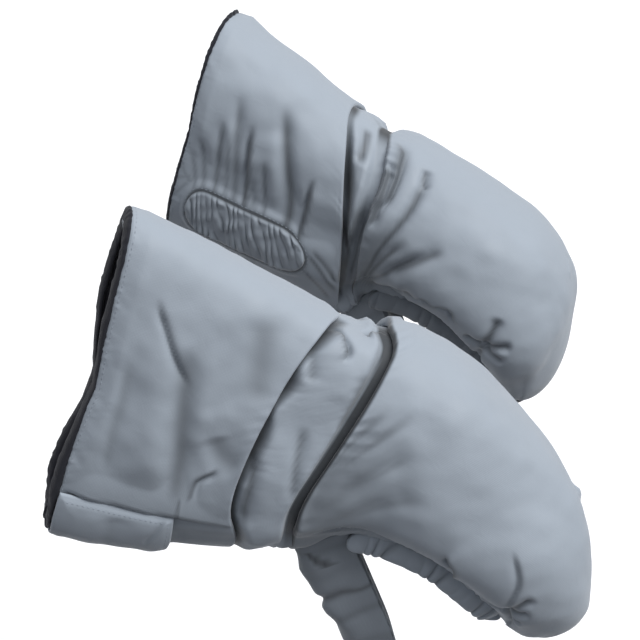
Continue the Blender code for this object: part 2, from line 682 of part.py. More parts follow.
def snap(mitt, collection):
    """The sew-on snap between the two rims, in front of the handle tube."""
    middle, up, half_height, _ = mitt.section(SNAP_STATION)
    y, z = middle - up * (half_height - WALL_DEPTH / 2)
    place = mitt.world(0, y, z)
    face = LAYER_GAP / 2
    back = SNAP_THICKNESS
    well = STUD_RADIUS + STUD_CLEARANCE
    floor = face + STUD_LENGTH + STUD_CLEARANCE
    socket = (
        (0, back),
        (SNAP_RADIUS - SNAP_LIP, back),
        (SNAP_RADIUS, back - SNAP_LIP),
        (SNAP_RADIUS, face),
        (well, face),
        (well, floor),
        (0, floor),
    )
    stud = (
        (0, face + STUD_LENGTH - LAYER_GAP),
        (STUD_RADIUS, face + STUD_LENGTH - LAYER_GAP),
        (STUD_RADIUS, -face),
        (SNAP_RADIUS, -face),
        (SNAP_RADIUS, SNAP_LIP - back),
        (SNAP_RADIUS - SNAP_LIP, -back),
        (0, -back),
    )
    axis = mitt.direction(1, 0, 0)
    turned(mitt.side + "_snap_socket", socket, place, axis, "grey_snap", collection)
    turned(mitt.side + "_snap_stud", stud, place, axis, "grey_snap", collection)


def main():
    for old in list(bpy.data.objects):
        bpy.data.objects.remove(old)
    collection = bpy.data.collections.new("stroller_hand_muffs")
    bpy.context.scene.collection.children.link(collection)
    for side in SIDES:
        mitt = Mitt(side)
        cuff(mitt, collection)
        wrist(mitt, collection)
        hand(mitt, collection)
        lining(mitt, collection)
        closure_flap(mitt, collection)
        gathers(mitt, collection)
        rim_casings(mitt, collection)
        handle_tongue(mitt, collection)
        snap(mitt, collection)


main()
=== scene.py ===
"""Looks of a pair of padded stroller hand muffs, built round their packed construction.

Every cover is a dense sheet laid over the sections that the construction is drawn from. A place on a mitt is
a station along it, from the cuff's mouth (0) to the toe (11), and an angle round its section, from the split
under the mitt (0) to its top (180): positive on the outer side and negative on the inner side. Folds are
strokes through such places, and lift or sink the sheet along its normal. Lengths are in metres, and those of
folds in millimetres.
"""

import math

import bpy
import numpy as np
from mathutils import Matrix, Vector


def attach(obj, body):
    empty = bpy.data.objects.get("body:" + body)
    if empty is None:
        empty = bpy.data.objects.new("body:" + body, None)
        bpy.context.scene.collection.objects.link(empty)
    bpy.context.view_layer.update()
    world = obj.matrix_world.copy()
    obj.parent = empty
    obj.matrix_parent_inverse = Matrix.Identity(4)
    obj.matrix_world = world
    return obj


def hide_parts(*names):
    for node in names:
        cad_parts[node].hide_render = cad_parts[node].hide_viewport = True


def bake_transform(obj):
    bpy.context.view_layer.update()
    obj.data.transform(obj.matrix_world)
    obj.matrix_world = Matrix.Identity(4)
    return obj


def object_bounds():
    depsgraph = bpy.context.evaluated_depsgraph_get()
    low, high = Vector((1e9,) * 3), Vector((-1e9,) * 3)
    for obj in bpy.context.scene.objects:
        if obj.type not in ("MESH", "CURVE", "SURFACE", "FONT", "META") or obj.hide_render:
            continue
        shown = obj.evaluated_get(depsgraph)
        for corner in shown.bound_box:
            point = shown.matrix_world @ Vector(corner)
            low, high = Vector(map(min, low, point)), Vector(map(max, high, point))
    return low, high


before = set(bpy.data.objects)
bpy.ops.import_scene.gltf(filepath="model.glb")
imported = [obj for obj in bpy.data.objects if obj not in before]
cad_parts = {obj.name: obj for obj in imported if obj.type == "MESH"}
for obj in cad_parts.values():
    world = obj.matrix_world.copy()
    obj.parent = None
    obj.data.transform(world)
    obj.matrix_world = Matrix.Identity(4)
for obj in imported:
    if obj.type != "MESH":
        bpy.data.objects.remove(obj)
CAD_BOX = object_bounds()

MM = 0.001

# Sizes of the construction
MITT_LENGTH = 0.375
FULL_THICKNESS = 0.122
HANDLE_SPACING = 0.44
TOE_IN = math.radians(10)
TUBE_LEAN = math.radians(21.3)
SEAM_GAP = 0.004
LINING_DEPTH = 0.0109
WALL_DEPTH = 0.0133
GROOVE_DEPTH = 0.005
PUFF_HEIGHT = 0.0065
CUFF_END = 2.0
BAND_END = 3.1
TOE = 11.0

# Sections: top Y and Z and bottom Y and Z as shares of MITT_LENGTH, thickness as a share of FULL_THICKNESS
SECTION_SHARES = {
    "right": (
        (-0.488, 0.717, -0.653, 0.115, 0.5),
        (-0.304, 0.608, -0.49, 0.08, 0.6),
        (-0.117, 0.493, -0.325, 0.056, 0.71),
        (-0.037, 0.475, -0.232, 0.066, 0.75),
        (0.027, 0.453, -0.123, 0.08, 0.85),
        (0.123, 0.387, -0.037, 0.064, 0.97),
        (0.232, 0.253, 0.045, 0.021, 1.0),
        (0.309, 0.125, 0.112, -0.037, 0.97),
        (0.344, -0.008, 0.163, -0.085, 0.87),
        (0.336, -0.093, 0.181, -0.109, 0.7),
        (0.28, -0.144, 0.189, -0.117, 0.46),
        (0.215, -0.142, 0.185, -0.12, 0.14),
    ),
    "left": (
        (-0.421, 0.653, -0.557, 0.181, 0.79),
        (-0.277, 0.565, -0.38, 0.108, 0.79),
        (-0.157, 0.48, -0.2, 0.04, 0.75),
        (-0.091, 0.435, -0.16, 0.055, 0.75),
        (-0.021, 0.411, -0.123, 0.067, 0.85),
        (0.096, 0.355, -0.037, 0.064, 0.97),
        (0.232, 0.264, 0.04, 0.024, 1.0),
        (0.304, 0.155, 0.104, -0.029, 0.97),
        (0.315, 0.013, 0.141, -0.077, 0.87),
        (0.288, -0.088, 0.16, -0.107, 0.7),
        (0.237, -0.147, 0.165, -0.12, 0.46),
        (0.184, -0.144, 0.16, -0.119, 0.14),
    ),
}
SLOT_STATIONS = (0.0, 3.7, 4.1, 7.0, 7.8, 8.5, 11.0)
SLOT_HALVES = (0.002, 0.002, 0.025, 0.025, 0.0195, 0.0048, 0.0048)
END_STATIONS = (0.0, 2.0, 4.0, 11.0)
END_SHARES = (0.15, 0.25, 0.5, 0.8)
THICK_STATIONS = (0.0, 9.0, 11.0)
THICK_SHARES = (1.0, 1.0, 0.36)
BOW_ANGLES = (0, 35, 50, 70, 90, 118, 150, 168, 180)
CUFF_SEAM_BOWS = {
    "right": (0, 0, -0.1, -0.37, -0.43, -0.34, -0.19, -0.09, 0),
    "left": (0.16, 0.2, 0.3, 0.32, 0.26, 0.1, 0, 0, 0),
}
BAND_SEAM_BOWS = {
    "right": (0, 0, -0.15, -0.4, -0.24, -0.02, 0.2, 0.08, 0),
    "left": (0, 0, 0.15, 0.3, 0.3, 0.3, 0.15, 0.06, 0),
}
BOW_REACH = (0.8, 4.1)
MOUTH_BOWS = {
    "right": (
        (-180, 0), (-102, 0), (-94, 0.08), (-88, 0.19), (-82, 0.17), (-74, 0.07), (-64, 0), (-60, -0.02),
        (-30, 0), (26, 0), (46, -0.06), (60, -0.08), (70, -0.06), (79, -0.04), (86, 0.02), (90, 0.075),
        (96, 0.03), (106, 0), (180, 0),
    ),
    "left": (
        (-180, -0.02), (-150, -0.09), (-122, -0.1), (-104, -0.05), (-92, 0.03), (-80, 0.02), (-50, 0.03),
        (-20, 0.03), (0, 0.02), (88, 0.04), (100, 0), (180, 0),
    ),
}
MOUTH_BOW_REACH = 0.6
PUFF_STATIONS = (0.0, 0.25, 8.6, 10.0)
PUFF_CROWN_ANGLES = (138, 180)
PUFF_CROWN_SHARE = 0.3
BELOW_ANGLES = (24, 44)
PUFF_EDGE_ANGLES = {"outer cuff": (50, 92), "inner cuff": (84, 98), "hand": (32, 58)}
SAG_ANGLES = (96, 150)
SAG_STATIONS = (0.0, 0.5, 1.0, 1.6, 2.2, 3.4, 5.5, 8.0, 10.5)
SAG_DEPTHS = (0.002, 0.0056, 0.0064, 0.0082, 0.0072, 0.0062, 0.0078, 0.0064, 0.002)
SIDES = {"right": 1, "left": -1}
SEEDS = {"right": 11, "left": 47}

# How finely the covers are drawn: their spacing, the finer one at their edges, and how far in that reaches
SPACING = 0.0021
LINING_SPACING = 0.0042
FLAP_SPACING = 0.0016
FINE_SPACING = 0.0007
FINE_MARGIN = 0.004
COARSE = 4
PERIMETER = 0.5
STATION_LENGTH = 0.08

# Covers, folds, seams and batting
SHELL_DEPTH = 0.0016
FOLD_FADE = 0.22
LIP_PULL = 0.55
SPLIT_ROUNDING = 0.0018
BAND_OVERLAPS = (0.09, 0.13)
BAND_DIVES = (0.006, 0.0062)
BATTING_GAP = 0.0004
BATTING_THINNEST = 0.0003
BATTING_ABOVE_LINING = 0.0005
DEEP_FOLD = 0.0045
DEEPEST = 0.007

# Folds: the shape, the depth and the width in millimetres, and the places that each runs through
OUTER_CUFF_FOLDS = (
    ("toe", 2.4, 4.0, (0.44, 117), (0.58, 109), (0.72, 103), (0.92, 97)),
    ("valley", 1.6, 2.6, (0.5, 113), (0.62, 107), (0.74, 102), (0.86, 98)),
    ("valley", 3.4, 10.0, (0.76, 108), (0.92, 92), (1.14, 79), (1.28, 62)),
    ("ridge", 1.8, 8.0, (0.96, 112), (1.1, 96), (1.3, 82)),
    ("ridge", 2.6, 11.0, (0.58, 106), (0.65, 95), (0.74, 83), (0.86, 70)),
    ("valley", 1.6, 6.0, (0.36, 98), (0.4, 84), (0.48, 72)),
    ("mouth", 3.6, 2.8, (1.24, 72), (1.27, 66), (1.3, 57)),
    ("top", 3.6, 3.6, (1.76, 82), (1.52, 79), (1.42, 76), (1.41, 68)),
    ("valley", 2.2, 15.0, (1.42, 138), (1.6, 120), (1.86, 100)),
    ("valley", 2.4, 10.0, (1.5, 90), (1.74, 86), (1.99, 84)),
    ("ridge", 1.4, 14.0, (1.2, 96), (1.45, 90), (1.62, 80)),
)
INNER_CUFF_FOLDS = (
    ("valley", 2.6, 3.4, (0.47, -68), (0.4, -82), (0.3, -90), (0.2, -94)),
    ("valley", 3.2, 3.6, (0.6, -68), (0.54, -82), (0.5, -92), (0.46, -104)),
    ("toe", 4.4, 4.2, (0.94, -66), (0.9, -80), (0.86, -92), (0.78, -110)),
    ("valley", 4.8, 6.0, (1.22, -66), (1.3, -86), (1.22, -102), (1.04, -130)),
    ("toe", 4.6, 4.2, (1.38, -64), (1.44, -82), (1.5, -94), (1.54, -104)),
    ("valley", 2.8, 4.6, (0.8, -66), (0.74, -84), (0.64, -100), (0.54, -120)),
    ("valley", 2.8, 3.2, (1.1, -66), (1.08, -80), (1.04, -90), (0.98, -100)),
    ("valley", 2.4, 3.0, (0.38, -68), (0.3, -80), (0.2, -86), (0.1, -88)),
    ("valley", 2.2, 3.0, (0.7, -66), (0.66, -80), (0.6, -92), (0.56, -100)),
    ("valley", 2.0, 3.0, (1.02, -66), (0.99, -79), (0.94, -86), (0.9, -92)),
    ("ridge", 2.2, 8.0, (0.66, -80), (0.62, -92), (0.52, -106)),
    ("ridge", 2.6, 10.0, (1.12, -82), (1.08, -96), (0.98, -112)),
    ("valley", 1.6, 2.4, (0.02, -66), (0.12, -72), (0.24, -78)),
    ("valley", 1.6, 2.4, (0.01, -76), (0.12, -78), (0.26, -80)),
    ("valley", 1.8, 2.6, (0.02, -84), (0.14, -80), (0.3, -77)),
    ("valley", 4.0, 3.4, (1.46, -73), (1.62, -66), (1.95, -46)),
    ("valley", 3.4, 3.2, (1.44, -64), (1.58, -53), (1.84, -34)),
    ("top", 3.8, 3.4, (1.52, -76), (1.74, -70), (1.98, -56)),
)
OUTER_BAND_FOLDS = (
    ("mouth", 6.4, 3.8, (2.0, 160), (2.13, 148), (2.24, 139), (2.3, 132)),
    ("toe", 6.4, 4.4, (3.02, 176), (2.74, 167), (2.56, 157)),
    ("valley", 3.2, 4.2, (2.31, 102), (2.49, 88), (2.78, 73)),
    ("valley", 2.6, 5.0, (1.98, 136), (2.18, 116)),
    ("valley", 4.0, 5.0, (2.06, 90), (2.13, 78), (2.15, 60)),
    ("valley", 2.0, 5.0, (2.72, 132), (2.8, 116), (2.86, 100)),
    ("ridge", 2.0, 9.0, (2.42, 152), (2.46, 132), (2.56, 112)),
)
INNER_BAND_FOLDS = (
    ("valley", 4.6, 5.0, (2.56, -166), (2.5, -138), (2.34, -122)),
    ("valley", 3.2, 9.0, (2.18, -132), (2.22, -100), (2.44, -62)),
    ("toe", 4.6, 5.0, (3.02, -104), (2.86, -78), (2.94, -44)),
    ("ridge", 2.4, 8.0, (2.78, -146), (2.7, -110), (2.62, -72)),
)
OUTER_HAND_FOLDS = (
    ("valley", 2.2, 5.0, (3.16, 56), (3.2, 88), (3.3, 99), (3.7, 118)),
    ("valley", 2.6, 5.0, (3.16, 54), (3.38, 86), (3.62, 97), (4.2, 118)),
    ("valley", 2.0, 6.0, (3.2, 52), (3.68, 76), (4.5, 102)),
    ("valley", 1.8, 7.0, (3.24, 50), (3.9, 62), (5.0, 84)),
    ("valley", 1.4, 3.0, (3.14, 72), (3.28, 92), (3.46, 106)),
    ("top", 5.8, 4.2, (5.62, 62), (6.0, 57), (6.2, 43)),
    ("top", 2.0, 3.4, (6.36, 93), (6.84, 84), (7.12, 70), (7.3, 56)),
    ("valley", 4.4, 3.6, (7.34, 50), (7.34, 66), (7.3, 84)),
    ("valley", 4.2, 3.4, (7.34, 50), (7.5, 62), (7.64, 74)),
    ("valley", 3.8, 3.4, (7.34, 50), (7.66, 52), (7.98, 58)),
    ("valley", 4.2, 3.4, (7.34, 50), (7.8, 44), (8.4, 34)),
    ("valley", 3.8, 3.2, (7.34, 50), (7.4, 40), (7.44, 30)),
    ("valley", 3.8, 3.2, (7.34, 50), (7.2, 40), (7.06, 30)),
    ("ridge", 3.0, 3.8, (6.86, 172), (7.0, 179), (7.1, 186)),
)
INNER_HAND_FOLDS = (
    ("mouth", 5.2, 6.0, (3.46, -168), (3.64, -146), (3.6, -126), (3.48, -104)),
    ("mouth", 4.6, 5.6, (3.24, -140), (3.18, -122), (3.26, -106), (3.36, -92)),
    ("valley", 6.0, 4.4, (4.36, -154), (4.4, -131), (4.3, -103), (3.88, -70), (3.28, -22)),
    ("valley", 4.0, 3.4, (4.36, -150), (4.4, -138), (4.52, -134)),
    ("valley", 4.4, 4.6, (4.62, -97), (4.24, -78), (3.44, -26)),
    ("valley", 4.2, 4.6, (5.0, -97), (4.54, -74), (3.5, -30)),
    ("valley", 3.4, 5.0, (5.22, -104), (4.84, -84), (4.4, -66)),
    ("valley", 5.0, 6.0, (5.2, -68), (4.68, -50), (3.9, -34)),
    ("valley", 5.0, 14.0, (4.9, -54), (4.3, -46), (3.6, -34)),
    ("top", 4.0, 3.2, (5.0, -56), (5.24, -67), (5.6, -66)),
    ("top", 4.0, 3.4, (5.42, -64), (5.8, -72), (6.1, -62)),
    ("valley", 4.6, 4.0, (6.82, -64), (6.72, -78), (6.56, -93)),
    ("valley", 4.2, 3.4, (6.82, -64), (7.02, -78), (7.24, -90)),
    ("valley", 3.4, 3.4, (6.82, -64), (7.12, -70), (7.46, -78)),
    ("valley", 4.2, 3.2, (6.82, -64), (7.0, -48), (7.16, -30)),
    ("valley", 4.2, 3.2, (6.82, -64), (6.6, -64), (6.34, -62)),
)
FLAP_FOLDS = (
    ("toe", 1.3, 3.0, (1.2, 60), (1.1, 50), (1.02, 38)),
    ("valley", 0.7, 7.0, (0.6, 58), (0.66, 46), (0.64, 30)),
)
RIM_SEAM = (
    (3.2, 46), (3.64, 48), (4.23, 44), (4.85, 33), (5.43, 26),
    (5.88, 30), (6.33, 40), (6.91, 44), (7.34, 50),
)
FRONT_RIM_SEAM = ((7.34, 50), (7.9, 40), (8.5, 30), (9.2, 24))
PINCHES = ((7.34, 50), (6.82, -64))
DIMPLE_DEPTH = 0.003
DIMPLE_RADIUS = 0.008

# Where the side of a fold lies from which fabric laps over it, in stations and in degrees
FOLD_SIDES = {"toe": (0.05, 0), "mouth": (-0.05, 0), "top": (0, 2)}

# Flap, the cuff's lap over it and gathered panel, by distances round the cuff from the split
FLAP_STATIONS = (0.06, 1.28)
FLAP_EDGES = (-0.015, 0.052)
FLAP_THICKNESS = 0.0026
FLAP_EDGE_THICKNESS = 0.0016
FLAP_ROOM = (0.053, 0.06)
INNER_ROOM = (0.017, 0.024)
LAP_HEIGHT = 0.0046
LAP_REACH = 0.03
LAP_LEAN = 0.0022
FLAP_SEAT_PLACES = (-0.015, 0.018, 0.024, 0.0485, 0.052)
FLAP_SEAT = (0.0008, 0.0034, 0.0043, 0.0043, 0.003)
PANEL_STATIONS = (0.27, 1.47)
PANEL_MIDDLE = -0.066
PANEL_WIDTH = 0.04
PANEL_SEAT = 0.0026
PANEL_RIBS = 17
PANEL_SLANT = 0.34
CUFF_STATION_LENGTH = 0.083
PANEL_HALF_LENGTH = (PANEL_STATIONS[1] - PANEL_STATIONS[0]) / 2 * CUFF_STATION_LENGTH

# Stitches
STITCH_LENGTH = 0.0026
STITCH_PITCH = 0.0036
STITCH_RADIUS = 0.00025
STITCH_ARCH = 0.00042
STITCH_RINGS = 4
STITCH_SIDES = 5
HEM_STATION = 0.085
FLAP_STITCH_INSET = 0.0045

# Mouth roll, casings and tongue
ROLL_ANGLES = (12, 348)
ROLL_HALF_WIDTH = 0.0076
ROLL_HEIGHTS = {
    "right": (
        (0, 2.0), (40, 2.4), (54, 3.0), (64, 4.6), (74, 4.0), (82, 2.2), (88, 0.8), (93, 1.0),
        (100, 2.2), (180, 2.2),
    ),
    "left": ((0, 1.6), (60, 2.0), (78, 1.6), (92, 1.0), (104, 1.8), (140, 2.2), (180, 1.8)),
}
CASING_STATIONS = (4.1, 9.45)
CASING_HEIGHT = 0.0165
CASING_WIDTH = 0.0065
CASING_OVERLAP = 0.003
CASING_SHRINK = 0.34
CASING_END = 0.008
PLEAT_HEIGHT = 0.0032
PLEAT_LENGTH = 0.011
# How much shade is painted over the inner casings
INSIDE_SHADE = 0.7
TONGUE_LENGTH = 0.108
TONGUE_THICKNESS = 0.039
TONGUE_EDGE_THICKNESS = 0.006
TONGUE_HALF_WIDTH = 0.0189
TONGUE_CLEARANCE = 0.027
TONGUE_FULL = ((0.0, 0.2, 0.45, 0.78, 1.0), (0.92, 1.0, 0.9, 0.77, 0.4))
TONGUE_TAPER = 0.72
TONGUE_TIP = 0.94
TONGUE_BEND = 0.03
# How much shade is painted over the whole tongue, which hangs in shade
TONGUE_SHADE = 0.46

# Folds across the tongue: the share of its length where each lies, its depth in millimetres and its width
TONGUE_FOLDS = (
    (0.12, 1.2, 0.06),
    (0.3, 0.8, 0.06),
    (0.45, 3.4, 0.032),
    (0.6, 1.6, 0.05),
    (0.86, 1.2, 0.06),
)

# A tuck on its outer side, drawn only as a line of painted shade: how far each of its ends is behind the
# tongue's middle, and below its top
TONGUE_TUCK = ((0.0142, 0.0076), (0.0106, 0.0205))

# The slot of each look, and its material: name, colour, roughness, sheen, threads (0: a nap), mottle and fuzz
FABRICS = {
    "shell": ("grey_shell_fabric", (0.345, 0.39, 0.44), 0.62, 0.25, 320, 0.035, 0.0),
    "fleece": ("black_fleece_pile", (0.012, 0.013, 0.018), 0.95, 0.12, 0, 0.25, 0.6),
    "binding": ("black_fleece_roll", (0.014, 0.015, 0.021), 0.95, 0.12, 0, 0.25, 0.6),
    "thread": ("grey_thread", (0.3, 0.34, 0.39), 0.55, 0.3, 0, 0.05, 0.2),
    "wadding": ("white_batting", (0.8, 0.8, 0.78), 0.95, 0.2, 0, 0.03, 0.5),
    "strip": ("hook_and_loop_tape", (0.06, 0.065, 0.075), 0.9, 0.3, 0, 0.15, 0.7),
    "elastic": ("ribbed_elastic", (0.72, 0.72, 0.7), 0.8, 0.1, 260, 0.03, 0.3),
    "snap": ("grey_snap_plastic", (0.15, 0.16, 0.18), 0.4, 0.0, 0, 0.05, 0.0),
}

# View and light
VIEW_AZIMUTH = math.radians(93.7)
VIEW_ELEVATION = math.radians(22.0)
VIEW_PLACE = (2.5502, 0.1076, 1.2124)
FOCAL_PIXELS = 4107.0
PHOTO_PIXELS = 640
SENSOR_WIDTH = 36
KEY_WAY = (0.34, 0.55, 0.76)
KEY_STRENGTH = 2.6
KEY_SPREAD = math.radians(36)
FILL_COLOUR = (0.84, 0.86, 0.92)
FILL_STRENGTH = 0.6
FLOOR_DROP = 0.33
FLOOR_REACH = 6.0


def smooth(low, high, x):
    """0 below low, 1 above high, and a smooth step between."""
    f = np.clip((x - low) / (high - low), 0, 1)
    return f * f * (3 - 2 * f)


def fade(low, high, x):
    """1 below low, 0 above high, and a smooth step between."""
    return 1 - smooth(low, high, x)


def bell(x, width):
    """1 at 0, and falling off smoothly to both sides."""
    return np.exp(-((x / width) ** 2))


def unit(vectors):
    return vectors / np.linalg.norm(vectors, axis=-1, keepdims=True)


def path_lengths(line):
    """The distance along a line of points from its first to each."""
    return np.insert(np.cumsum(np.linalg.norm(np.diff(line, axis=0), axis=1)), 0, 0)


def full_turn(count):
    """Angles in this many steps all the way round."""
    return np.linspace(0, 2 * math.pi, count, endpoint=False)


def from_bottom(angle):
    """Degrees from the bottom of a section, 0 to 180 on both of its sides."""
    return np.degrees(np.arccos(np.cos(angle)))


def every(step):
    """The index of every step-th row and column of a grid."""
    return (slice(None, None, step), slice(None, None, step))


def spline_rows(table, place):
    """Rows of a table at places between them, on a smooth curve (Catmull-Rom)."""
    table = np.asarray(table, float)
    last = len(table) - 1
    place = np.minimum(place, last)
    index = np.minimum(place.astype(int), last - 1)
    f = (place - index)[..., None]
    before = table[np.maximum(index - 1, 0)]
    a, b = table[index], table[index + 1]
    after = table[np.minimum(index + 2, last)]
    rising = (b - before) * f + (2 * before - 5 * a + 4 * b - after) * f**2
    return 0.5 * (2 * a + rising + (3 * a - before - 3 * b + after) * f**3)


def wall_share(station):
    """How much of the wall's depth is left here: it thins towards the toe."""
    return np.interp(station, THICK_STATIONS, THICK_SHARES)


def rounded(angles, values):
    """A table over 0 to 180 degrees, with its corners rounded off."""
    fine = np.interp(np.arange(-20, 201), angles, values)
    return np.convolve(fine, np.ones(19) / 19, "same")[20:201]


class Mitt:
    """One mitt: where a place on it lies in its own frame, and in the row frame."""

    def __init__(self, side, looks):
        self.side = side
        self.looks = looks
        self.sign = SIDES[side]
        self.right = self.sign > 0
        self.seed = SEEDS[side]
        self.table = np.array(SECTION_SHARES[side])
        turn = self.sign * TOE_IN
        forward = (-math.sin(turn), math.cos(turn), 0)
        outward = (self.sign * math.cos(turn), self.sign * math.sin(turn), 0)
        self.axes = np.array([outward, forward, (0, 0, 1)])
        self.origin = np.array([0.0 if self.right else -HANDLE_SPACING, 0, 0])
        self.cuff_bow = rounded(BOW_ANGLES, CUFF_SEAM_BOWS[side])
        self.band_bow = rounded(BOW_ANGLES, BAND_SEAM_BOWS[side])
        self.mouth_bow = np.array(MOUTH_BOWS[side]).T

    def world(self, local):
        return self.origin + np.asarray(local) @ self.axes

    def bowed(self, station, turn):
        """The station as the wrist seams bow."""
        cuff, band = (np.interp(turn, np.arange(181), bow) for bow in (self.cuff_bow, self.band_bow))
        first, last = BOW_REACH
        room = smooth(first, CUFF_END, station) * fade(BAND_END, last, station)
        cross = smooth(CUFF_END, BAND_END, station)
        return station + room * (cuff * (1 - cross) + band * cross)

    def place(self, station, angle, depth=0.0):
        """X, Y and Z in the mitt's own frame. Arrays broadcast together."""
        station, angle, depth = np.broadcast_arrays(*(np.asarray(v, float) for v in (station, angle, depth)))
        mouth = np.interp(np.degrees(np.arctan2(np.sin(angle), np.cos(angle))), *self.mouth_bow)
        station = self.bowed(station, from_bottom(angle)) + mouth * fade(0, MOUTH_BOW_REACH, station)
        row = spline_rows(self.table, station)
        top, bottom = row[..., 0:2] * MITT_LENGTH, row[..., 2:4] * MITT_LENGTH
        height = np.linalg.norm(top - bottom, axis=-1)
        up = (top - bottom) / height[..., None]
        inset = depth * wall_share(station)
        w = row[..., 4] * FULL_THICKNESS / 2 - inset
        h = height / 2 - inset
        square = np.interp(station, END_STATIONS, END_SHARES)
        flat = np.cos(angle) / np.sqrt(np.cos(angle) ** 2 + square * np.sin(angle) ** 2)
        rise = -((h - w) * flat + w * np.cos(angle))
        yz = (top + bottom) / 2 + up * rise[..., None]
        return np.concatenate([(w * np.sin(angle))[..., None], yz], axis=-1)

    def up(self, station):
        """The way from the bottom to the top of the section, as Y and Z."""
        row = spline_rows(self.table, np.asarray(station, float))
        return unit(row[..., 0:2] - row[..., 2:4])

    def edge(self, station, depth=0.0):
        """The angle at the edge of the split."""
        width = spline_rows(self.table, np.asarray(station, float))[..., 4] * FULL_THICKNESS / 2
        width = width - depth * wall_share(station)
        return np.arcsin(np.minimum(np.interp(station, SLOT_STATIONS, SLOT_HALVES) / width, 0.9))

    def measure(self, station):
        """Angles round the section, and the distance along it from its bottom to each."""
        angles = np.linspace(0, 2 * math.pi, 721)
        return angles, path_lengths(self.place(station, angles))

    def angle_at(self, station, distance):
        """The angles of places this far round the section from its bottom; negative is the inner side."""
        angles, lengths = self.measure(station)
        return np.sign(distance) * np.interp(np.abs(distance), lengths, angles)


def normals(points):
    """Unit normals of a grid of points, out of the mitt."""
    normal = np.cross(np.gradient(points, axis=0), np.gradient(points, axis=1))
    return normal / (np.linalg.norm(normal, axis=-1, keepdims=True) + 1e-12)


def stroke_line(mitt, places, samples=14):
    """Points of the mitt's own frame along a smooth stroke through (station, angle in degrees) places."""
    at = spline_rows(places, np.linspace(0, len(places) - 1, samples))
    return mitt.place(at[:, 0], np.radians(at[:, 1]))


def stroke_field(points, normal, line):
    """Signed distances of points from a stroke, how far along it they are (0 to 1), and its positive side."""
    best = np.full(len(points), 1e9)
    share = np.zeros(len(points))
    side = np.zeros(points.shape)
    offset = np.zeros(points.shape)
    lengths = np.linalg.norm(np.diff(line, axis=0), axis=1)
    ends = path_lengths(line)
    for i, (a, length) in enumerate(zip(line[:-1], lengths)):
        way = (line[i + 1] - a) / length
        t = np.clip((points - a) @ way, 0, length)
        off = points - a - t[:, None] * way
        distance = np.linalg.norm(off, axis=1)
        closer = distance < best
        best[closer] = distance[closer]
        share[closer] = (ends[i] + t[closer]) / ends[-1]
        offset[closer] = off[closer]
        side[closer] = np.cross(normal[closer], way)
    return best * np.sign((offset * side).sum(axis=1)), share, side


def valley(t, width):
    return -bell(t, width)


def lip(t, width):
    """A fold that lies over its neighbour: high on the stroke's positive side, and undercut on the other."""
    over = smooth(-0.35, 0.35, t / width)
    high = np.exp(-np.maximum(t, 0) / (1.8 * width)) * over
    return 0.5 * high - bell(np.minimum(t, 0), 1.2 * width) * (1 - over)


PROFILES = {"valley": valley, "ridge": bell}


def smooth_field(points, length, seed, waves=26):
    """A smooth random field over points, of bumps about this long, mostly between -1 and 1."""
    rng = np.random.default_rng(seed)
    ways = unit(rng.normal(size=(waves, 3)))
    ways *= 2 * math.pi / (length * rng.uniform(0.75, 1.6, (waves, 1)))
    phases = rng.uniform(0, 2 * math.pi, waves)
    return np.cos(points @ ways.T + phases).sum(axis=-1) / math.sqrt(waves)


def puckers(along, away, length, reach, seed):
    """Short wrinkles that leave a seam, about this far apart, and die out over the reach."""
    rng = np.random.default_rng(seed)
    total = np.zeros_like(along)
    for _ in range(7):
        wave = length * rng.uniform(0.6, 1.7)
        tilt = rng.normal(0, 0.25)
        total += np.cos(2 * math.pi * (along + tilt * away) / wave + rng.uniform(0, 2 * math.pi))
    strength = 0.75 + 0.5 * np.cos(2 * math.pi * along / (length * 5.3) + seed)
    return (1 - np.abs(total / 2.2)) * strength * np.exp(-away / reach)


def graded(length, spacing):
    """Places from 0 to length, close together near both ends, in a count that the coarse skin divides."""
    places = [0.0]
    while places[-1] < length / 2:
        f = float(smooth(FINE_MARGIN, 3 * FINE_MARGIN, places[-1]))
        places.append(places[-1] + FINE_SPACING + (spacing - FINE_SPACING) * f)
    half = np.array(places) / places[-1] * length / 2
    both = np.concatenate([half, (length - half[:-1])[::-1]])
    count = COARSE * math.ceil((len(both) - 1) / COARSE) + 1
    return np.interp(np.linspace(0, len(both) - 1, count), np.arange(len(both)), both)


def block_lowest(lift):
    """The lowest lift near every coarse point of a grid."""
    size = 2 * COARSE + 1
    windows = np.lib.stride_tricks.sliding_window_view(np.pad(lift, COARSE, mode="edge"), (size, size))
    return windows[every(COARSE)].min(axis=(2, 3))


def placed(name, data):
    """A new object of the scene, with this data."""
    made = bpy.data.objects.new(name, data)
    bpy.context.scene.collection.objects.link(made)
    return made


def new_piece(name, mitt, points, faces, uv, painted_shade, inside_out=False):
    """A smooth piece from points of the mitt's own frame, with its UV in metres and the shade painted into
    its colour.
    """
    if inside_out == mitt.right:
        faces = [face[::-1] for face in faces]
    name = f"{mitt.side}_{name}"
    mesh = bpy.data.meshes.new(name)
    mesh.from_pydata(mitt.world(points).tolist(), [], faces)
    mesh.uv_layers.new(name="UVMap")
    loops = np.empty(len(mesh.loops), np.int32)
    mesh.loops.foreach_get("vertex_index", loops)
    mesh.uv_layers[0].data.foreach_set("uv", np.asarray(uv, np.float32)[loops].ravel())
    # This point attribute holds painted shade: how far the material darkens the colour where creases, grooves
    # and undersides lie in shade
    dark = mesh.attributes.new("painted_shade", "FLOAT", "POINT")
    dark.data.foreach_set("value", np.asarray(painted_shade, np.float32))
    mesh.shade_smooth()
    mesh.update()
    return placed(name, mesh)


def grid_quads(index):
    """The quads between the points of a grid."""
    corners = (index[:-1, :-1], index[1:, :-1], index[1:, 1:], index[:-1, 1:])
    return np.stack(corners, axis=-1).reshape(-1, 4)


def tube_faces(index):
    """The faces of a closed tube through rings of points."""
    quads = grid_quads(np.concatenate([index, index[:, :1]], axis=1))
    return quads.tolist() + [index[0].tolist(), index[-1][::-1].tolist()]


